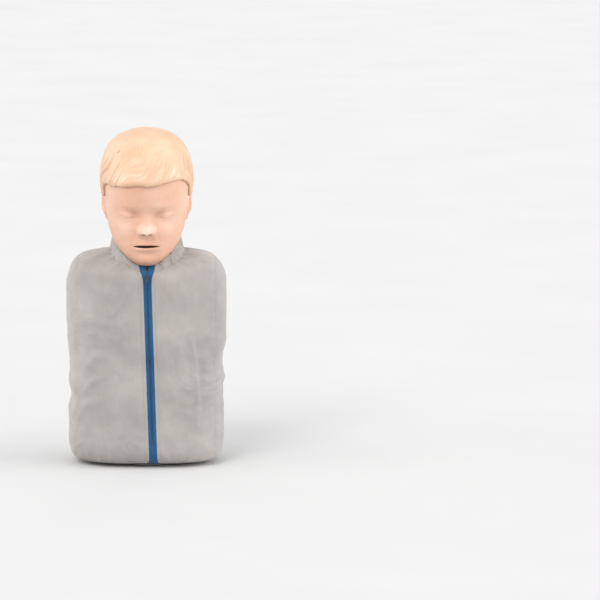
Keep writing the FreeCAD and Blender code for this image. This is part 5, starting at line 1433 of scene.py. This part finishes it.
def make_collar(outer, normals):
    """The outer face, a rounded top edge and the inner face, closed at both ends."""
    layers = [outer]
    for rise, back in ((0.0007, 0.25), (0.0010, 0.5), (0.0007, 0.78)):
        layers.append((outer[-1] + np.array([0, 0, rise]) - normals[-1] * COLLAR_THICK * back)[None])
    layers.append((outer - normals * COLLAR_THICK)[::-1])
    points = np.concatenate(layers)
    rows, cols = points.shape[:2]
    faces = grid_faces(rows, cols)
    for column, turn in ((0, 1), (cols - 1, -1)):
        for i in range(COLLAR_ROWS - 1):
            far = rows - 1 - i
            faces.append([k * cols + column for k in (i, i + 1, far - 1, far)][::turn])
        faces.append([(COLLAR_ROWS - 1 + k) * cols + column for k in range(5)][::turn])
    made = new_object("collar_cloth", points.reshape(-1, 3), faces, JACKET)
    edit(made, face_outwards)
    return made


def collar_weights(points):
    """Weights near 0.85 at the back of the collar's top, falling to 0 at its foot and front."""
    return 0.85 * smoothstep(-0.020, 0.050, points[:, 1]) * smoothstep(0.350, 0.396, points[:, 2])


collar_outer, collar_normals = collar_face()
collar = make_collar(collar_outer, collar_normals)
dress("collar")
blended(collar, collar_weights(coordinates(collar)))


def tape_edges(side, z):
    """The x of a tape's inner and outer edge at a height."""
    opening = V_OPEN * max(0.0, z - V_OPEN_Z) / (V_TOP_Z - V_OPEN_Z)
    middle = zip_x(min(z, ZIP_HEAD[1]))
    return middle + side * (opening + 0.0002), middle + side * (float(zip_edges(z)) + TAPE_WIDTH)


def make_tape(side, word):
    """A zip tape: on the frame's tape up to the chin, then on the collar's front edge."""
    tree = tree_of(f"zip_tape_{word}")
    edge = collar_outer[:, 0 if side > 0 else -1]
    heights = np.append(np.arange(0.0052, 0.3180, 0.0020), np.arange(0.3185, edge[-1, 2] + 0.0006, 0.0007))
    points = np.zeros((len(heights), len(TAPE_SHARES), 3))
    for i, z in enumerate(heights):
        near, far = tape_edges(side, z)
        for j, share in enumerate(TAPE_SHARES):
            inset = near + (far - near) * (0.03 + 0.94 * share)
            hit = tree.ray_cast(Vector((inset, -0.3, z)), Vector((0, 1, 0)))[0]
            points[i, j] = (near + (far - near) * share, hit.y if hit else np.nan, z)
    along = heights > TAPE_ON_COLLAR_Z
    on_collar = np.interp(heights[along], edge[:, 2], edge[:, 1]) - TAPE_OVER_COLLAR
    points[along, :, 1] = on_collar[:, None]
    points[(heights > TAPE_LEAVES_Z) & ~along, :, 1] = np.nan
    for column in points[..., 1].T:
        good = ~np.isnan(column)
        column[:] = np.interp(heights, heights[good], column[good])
    rib = 0.00022 * bell(TAPE_SHARES - 0.34, 0.07) - 0.00012 * bell(TAPE_SHARES - 0.5, 0.08)
    ripple = 0.00022 * noise(points * np.array([0.0, 0.0, 70.0]) + 3.3, 121) * TAPE_SHARES[None, :]
    points[..., 1] -= rib[None, :] + ripple
    faces = grid_faces(*points.shape[:2], flip=side < 0)
    made = new_object(f"tape_{word}", points.reshape(-1, 3), faces, TAPE)
    outward(made)
    thicken(made, TAPE_THICK)
    dress(f"zip_tape_{word}")
    press_down(made)


for side, word in SIDES:
    make_tape(side, word)


def pebble(half_x, half_y, half_z, power=3.0, around=10, rings=5):
    """A small rounded block, its points and faces."""
    points = [(0, 0, -half_z)]
    for i in range(1, rings):
        lat = math.pi * (i / rings - 0.5)
        for j in range(around):
            lon = 2 * math.pi * j / around
            parts = (math.cos(lat) * math.cos(lon), math.cos(lat) * math.sin(lon), math.sin(lat))
            shaped = [math.copysign(abs(p) ** (2 / power), p) for p in parts]
            points.append((half_x * shaped[0], half_y * shaped[1], half_z * shaped[2]))
    points.append((0, 0, half_z))
    faces = [[0, 1 + (j + 1) % around, 1 + j] for j in range(around)]
    for i in range(rings - 2):
        for j in range(around):
            a, b = 1 + i * around + j, 1 + i * around + (j + 1) % around
            faces.append([a, b, b + around, a + around])
    last = len(points) - 1
    base = 1 + (rings - 2) * around
    faces += [[last, base + j, base + (j + 1) % around] for j in range(around)]
    return np.array(points), faces


def scattered(name, shape, places, material):
    """One mesh with a copy of a small shape at each place: (point, along, out)."""
    corners, faces = shape
    all_points, all_faces = [], []
    for point, along, out in places:
        along = unit(along)
        cross = unit(np.cross(along, out))
        up = np.cross(cross, along)
        start = len(corners) * len(all_points)
        all_points.append(point + corners @ np.array([cross, up, along]))
        all_faces += [[start + k for k in f] for f in faces]
    return new_object(name, np.concatenate(all_points), all_faces, material)


def make_teeth(side, word):
    lean = unit(np.array([zip_x(1.0) - zip_x(0.0), 0, 1.0]))
    out = np.array([0, -1.0, 0])
    first = TEETH_LOW + 0.00005 + (0.25 if side > 0 else 0.75) * TOOTH_PITCH
    places = []
    for i in range(int((TEETH_HIGH + TOOTH_PITCH / 2 - TEETH_LOW) / TOOTH_PITCH)):
        z = first + i * TOOTH_PITCH
        places.append((np.array([zip_x(z) + side * 0.0006, ZIP_FACE_Y, z]), lean, out))
    made = scattered(f"teeth_{word}", pebble(0.00125, 0.00052, 0.00066), places, TEETH)
    dress(f"zip_teeth_{word}")
    press_down(made)


for side, word in SIDES:
    make_teeth(side, word)


def seam_line(outer, normals, column, inward, offset):
    """Points along a panel's border, offset in from it over the cloth, with the way out."""
    line, out = [], []
    for points, ways in zip(outer, normals):
        walked, place, way = 0.0, points[column], ways[column]
        for j in range(column + inward, column + inward * 12, inward):
            before = points[j - inward]
            step = np.linalg.norm(points[j] - before)
            if walked + step >= offset:
                place = before + (points[j] - before) * (offset - walked) / step
                way = ways[j]
                break
            walked += step
        line.append(place)
        out.append(way)
    return np.array(line), np.array(out)


def along_line(at, walk, values):
    return np.array([np.interp(at, walk, column) for column in values.T])


def stitches(name, line, out):
    """A row of stitches along a line, left out where the hem and the collar cover it."""
    places = []
    walk = np.append(0, np.cumsum(np.linalg.norm(np.diff(line, axis=0), axis=1)))
    for at in np.arange(0.001, walk[-1] - STITCH_PITCH, STITCH_PITCH):
        here = along_line(at, walk, line)
        way_out = along_line(at, walk, out)
        if here[2] < STITCH_LOWEST or inside_collar(here * np.array([0.965, 0.965, 1.0])):
            continue
        ahead = along_line(at + 0.0015, walk, line) - here
        places.append((here + way_out * 0.00012, ahead, way_out))
    stitch = pebble(0.00034, 0.00026, STITCH_LENGTH / 2, 2.2, 8, 6)
    made = scattered(name, stitch, places, THREAD)
    dress(None)
    return made


for side, word in SIDES:
    outer, normals = panel_faces[word]
    way_out = normals * (1 if normals[PROBE][1] < 0 else -1)
    zip_column = FRONT_COLS - 1 if side < 0 else 0
    seam_column = FRONT_COLS - 1 - zip_column
    zip_line = seam_line(outer, way_out, zip_column, side, ZIP_SEAM_IN)
    side_line = seam_line(outer, way_out, seam_column, -side, SIDE_SEAM_IN)
    press_down(stitches(f"zip_topstitch_{word}", *zip_line))
    made = stitches(f"side_topstitch_{word}", *side_line)
    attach(made, "torso")


def make_hem():
    """The gathered elastic edge under the jacket, open at the zip."""
    tree = tree_of("hem_band")
    start = math.atan2(HEM_FRONT_Y, zip_x(0.008) + HEM_GAP)
    end = start + 2 * math.pi + 2 * HEM_GAP / HEM_FRONT_Y - 0.004
    points = np.zeros((HEM_TURNS, HEM_RING, 3))
    ring = np.arange(HEM_RING) * 2 * math.pi / HEM_RING
    for i, turn in enumerate(np.linspace(start, end, HEM_TURNS)):
        way = Vector((math.cos(turn), math.sin(turn), 0))
        origin = Vector((0, 0, 0.0075)) + way * 0.4
        hit = tree.ray_cast(origin, -way)[0] or shell_tree.ray_cast(origin, -way)[0] + way * 0.003
        gather = ring_noise(turn, 17, 0.3, 131)
        small = 0.0005 * ring_noise(turn, 38, 0.7, 133)
        radius = 0.0032 + 0.0010 * gather + small
        off = radius * np.cos(ring) * 0.80 - 0.0016 + 0.0004 * gather
        points[i] = np.array(hit) + off[:, None] * np.array(way)
        points[i, :, 2] = 0.0112 + radius * np.sin(ring) * 1.15 + 0.0014 * gather + small
    made = closed_tube("hem_roll", points, JACKET)
    dress("hem_band")
    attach(made, "torso")


def closed_tube(name, points, material):
    """A tube of rings of points, with a cap at each end."""
    rows, cols = points.shape[:2]
    faces = grid_faces(rows, cols, around=True)
    faces.append(list(range(cols)))
    faces.append(list(range(rows * cols - 1, (rows - 1) * cols - 1, -1)))
    made = new_object(name, points.reshape(-1, 3), faces, material)
    edit(made, face_outwards)
    return made


make_hem()


# Soft and sprung pieces under the jacket

CHEST_COLS = 62
CHEST_HALF_X = 0.121
BAG_TOP = 0.275
BAG_Y = -0.0778
BAG_NECK_HALF = 0.011
WIRE = 0.0020
COILS = 7
HOSE_RADIUS = 0.0050
HOSE_LINE = [
    (0, -0.0727, 0.3801),
    (0, -0.0450, 0.3857),
    (0, -0.0240, 0.3900),
    (0, -0.0100, 0.3915),
    (0, -0.0100, 0.3780),
    (0, -0.0100, 0.3450),
    (0, -0.0100, 0.3200),
    (0, -0.0120, 0.3040),
    (0, -0.0340, 0.3040),
    (0, -0.0767, 0.3040),
]


def make_chest_skin():
    """The soft skin of the chest, just inside the jacket."""
    shape = (len(FRONT_ROWS), CHEST_COLS)
    points = np.zeros((*shape, 3))
    kept = np.zeros(shape, bool)
    skin_tree = tree_of("chest_skin")
    for i, row in enumerate(FRONT_ROWS):
        for j in range(CHEST_COLS):
            middle, way = row_ray(-CHEST_HALF_X + 2 * CHEST_HALF_X * j / (CHEST_COLS - 1), row)
            reach = reach_of(skin_tree, middle, way)
            kept[i, j] = reach > 0.02
            points[i, j] = middle + way * (reach - 0.0004)
    faces = [f for f in grid_faces(*shape) if kept.reshape(-1)[f].all()]
    made = new_object("chest_skin_sheet", points.reshape(-1, 3), faces, SKIN)
    edit(made, drop_loose)
    outward(made)
    thicken(made, 0.0012)
    dress("chest_skin")
    press_down(made)


def make_lung_bag():
    """A thin film bag between the skin and the plate, with its welded edge and neck strip."""
    low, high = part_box("lung_bag")
    share, z = np.meshgrid(np.linspace(-1, 1, 40), np.linspace(low[2], high[2], 90))
    x = share * (high[0] + (BAG_NECK_HALF - high[0]) * smoothstep(BAG_TOP, BAG_TOP + 0.012, z))
    crinkle = 0.00022 * noise(np.stack([x * 90, 0 * x + 0.4, z * 90], axis=-1), 141)
    y = BAG_Y - crinkle * (np.abs(share) <= 0.93)
    points = np.stack([x, y, z], axis=-1)
    made = new_object("lung_bag_film", points.reshape(-1, 3), grid_faces(*x.shape), FILM)
    outward(made)
    thicken(made, 0.0003)
    dress("lung_bag")
    press_down(made)
    return made


def tube(name, line, radius, material, sides=12):
    """A round tube along a line of points."""
    line = np.array(line)
    ways = unit(np.gradient(line, axis=0))
    side = np.cross(ways[0], np.array([1.0, 0.3, 0.2]))
    turn = np.arange(sides)[:, None] * 2 * math.pi / sides
    rings = []
    for point, way in zip(line, ways):
        side = unit(side - way * (side @ way))
        rings.append(point + radius * (np.cos(turn) * side + np.sin(turn) * np.cross(way, side)))
    return closed_tube(name, np.array(rings), material)


def make_spring():
    """The return spring behind the chest plate."""
    low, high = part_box("compression_spring")
    coil = (high[0] - low[0]) / 2 - WIRE
    start, length = low[1] + WIRE, high[1] - low[1] - 2 * WIRE
    share = np.linspace(0, 1, 28 * COILS + 1)
    angle = 2 * math.pi * COILS * share
    line = np.stack([coil * np.cos(angle), start + length * share, CHEST_Z + coil * np.sin(angle)], axis=-1)
    made = tube("spring_coil", line, WIRE, STEEL)
    dress("compression_spring")
    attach(made, "torso")
    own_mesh(made)


def make_airway():
    """The soft tube from the mouthpiece down through the neck to the lung bag."""
    curve = bpy.data.curves.new("airway_line", "CURVE")
    curve.dimensions = "3D"
    spline = curve.splines.new("NURBS")
    spline.points.add(len(HOSE_LINE) - 1)
    for point, place in zip(spline.points, HOSE_LINE):
        point.co = (*place, 1)
    spline.order_u = 4
    spline.use_endpoint_u = True
    curve.resolution_u = 8
    holder = bpy.data.objects.new("airway_line", curve)
    mesh = bpy.data.meshes.new_from_object(holder)
    route = [tuple(v.co) for v in mesh.vertices]
    bpy.data.objects.remove(holder)
    bpy.data.meshes.remove(mesh)
    made = tube("airway_hose", route, HOSE_RADIUS, FILM, 16)
    dress("airway_tube")
    _, y, z = coordinates(made).T
    weights = smoothstep(-0.010, -0.040, y) * smoothstep(0.366, 0.384, z)
    blended(made, weights)


make_chest_skin()
lung_film = make_lung_bag()
make_spring()
make_airway()


# Floor, soft studio light and the camera at the photograph's angle

PHOTO_WIDTH = 600
OBJECT_PX = 146.5
PIXEL = 0.00165
CAMERA_FAR = 6.0
CAMERA_RISE = math.radians(9.0)
LENS_MM = 218.0
SENSOR_MM = 36.0
AIM = (0, -0.03, 0.2745)
FLOOR_HALF = 14
FLOOR_Z = -0.0005
# Place, strength and angle across in degrees
LAMPS = {
    "key": ((-0.8, -1.3, 1.5), 1.25, 30),
    "fill": ((1.3, -1.0, 0.7), 0.40, 60),
    "side_right": ((-1.7, -0.3, 0.5), 0.85, 45),
    "side_left": ((1.7, -0.3, 0.5), 1.55, 45),
}


def add_floor():
    paint = Nodes("studio_floor_paint", 0.9, Specular_IOR_Level=0.1)
    paint.set(paint.shader, Base_Color=paint.ramp(paint.noise(3.0), (0.3, "CDCDCD"), (0.7, "D0D0D0")))
    corners = [(x * FLOOR_HALF, y * FLOOR_HALF, FLOOR_Z) for x, y in ((-1, -1), (1, -1), (1, 1), (-1, 1))]
    new_object("studio_floor", corners, [[0, 1, 2, 3]], paint.material, smooth=False)


def add_to_scene(name, content, place, aim):
    made = bpy.data.objects.new(name, content)
    made.location = place
    made.rotation_euler = (aim - made.location).to_track_quat("-Z", "Y").to_euler()
    bpy.context.scene.collection.objects.link(made)
    return made


def add_lamp(name, place, strength, across):
    lamp = bpy.data.lights.new(name, "SUN")
    lamp.energy = strength
    lamp.angle = math.radians(across)
    add_to_scene(name, lamp, place, Vector((0, 0, 0)))


def add_camera():
    view = bpy.data.cameras.new("photo_camera")
    view.lens = LENS_MM
    view.sensor_width = SENSOR_MM
    frame_width = CAMERA_FAR * SENSOR_MM / LENS_MM
    view.shift_x = (PHOTO_WIDTH / 2 - OBJECT_PX) * PIXEL / frame_width
    aim = Vector(AIM)
    place = aim + Vector((0, -math.cos(CAMERA_RISE), math.sin(CAMERA_RISE))) * CAMERA_FAR
    bpy.context.scene.camera = add_to_scene("photo_camera", view, place, aim)


def add_world():
    world = bpy.data.worlds.new("studio")
    world.use_nodes = True
    back = world.node_tree.nodes["Background"]
    back.inputs["Color"].default_value = srgb("F6F6F6")
    back.inputs["Strength"].default_value = 1.0
    bpy.context.scene.world = world


add_floor()
add_world()
for name, lamp in LAMPS.items():
    add_lamp(name, *lamp)
add_camera()
bpy.context.scene.view_settings.view_transform = "Standard"
bpy.context.scene.view_settings.look = "None"

bpy.context.view_layer.update()
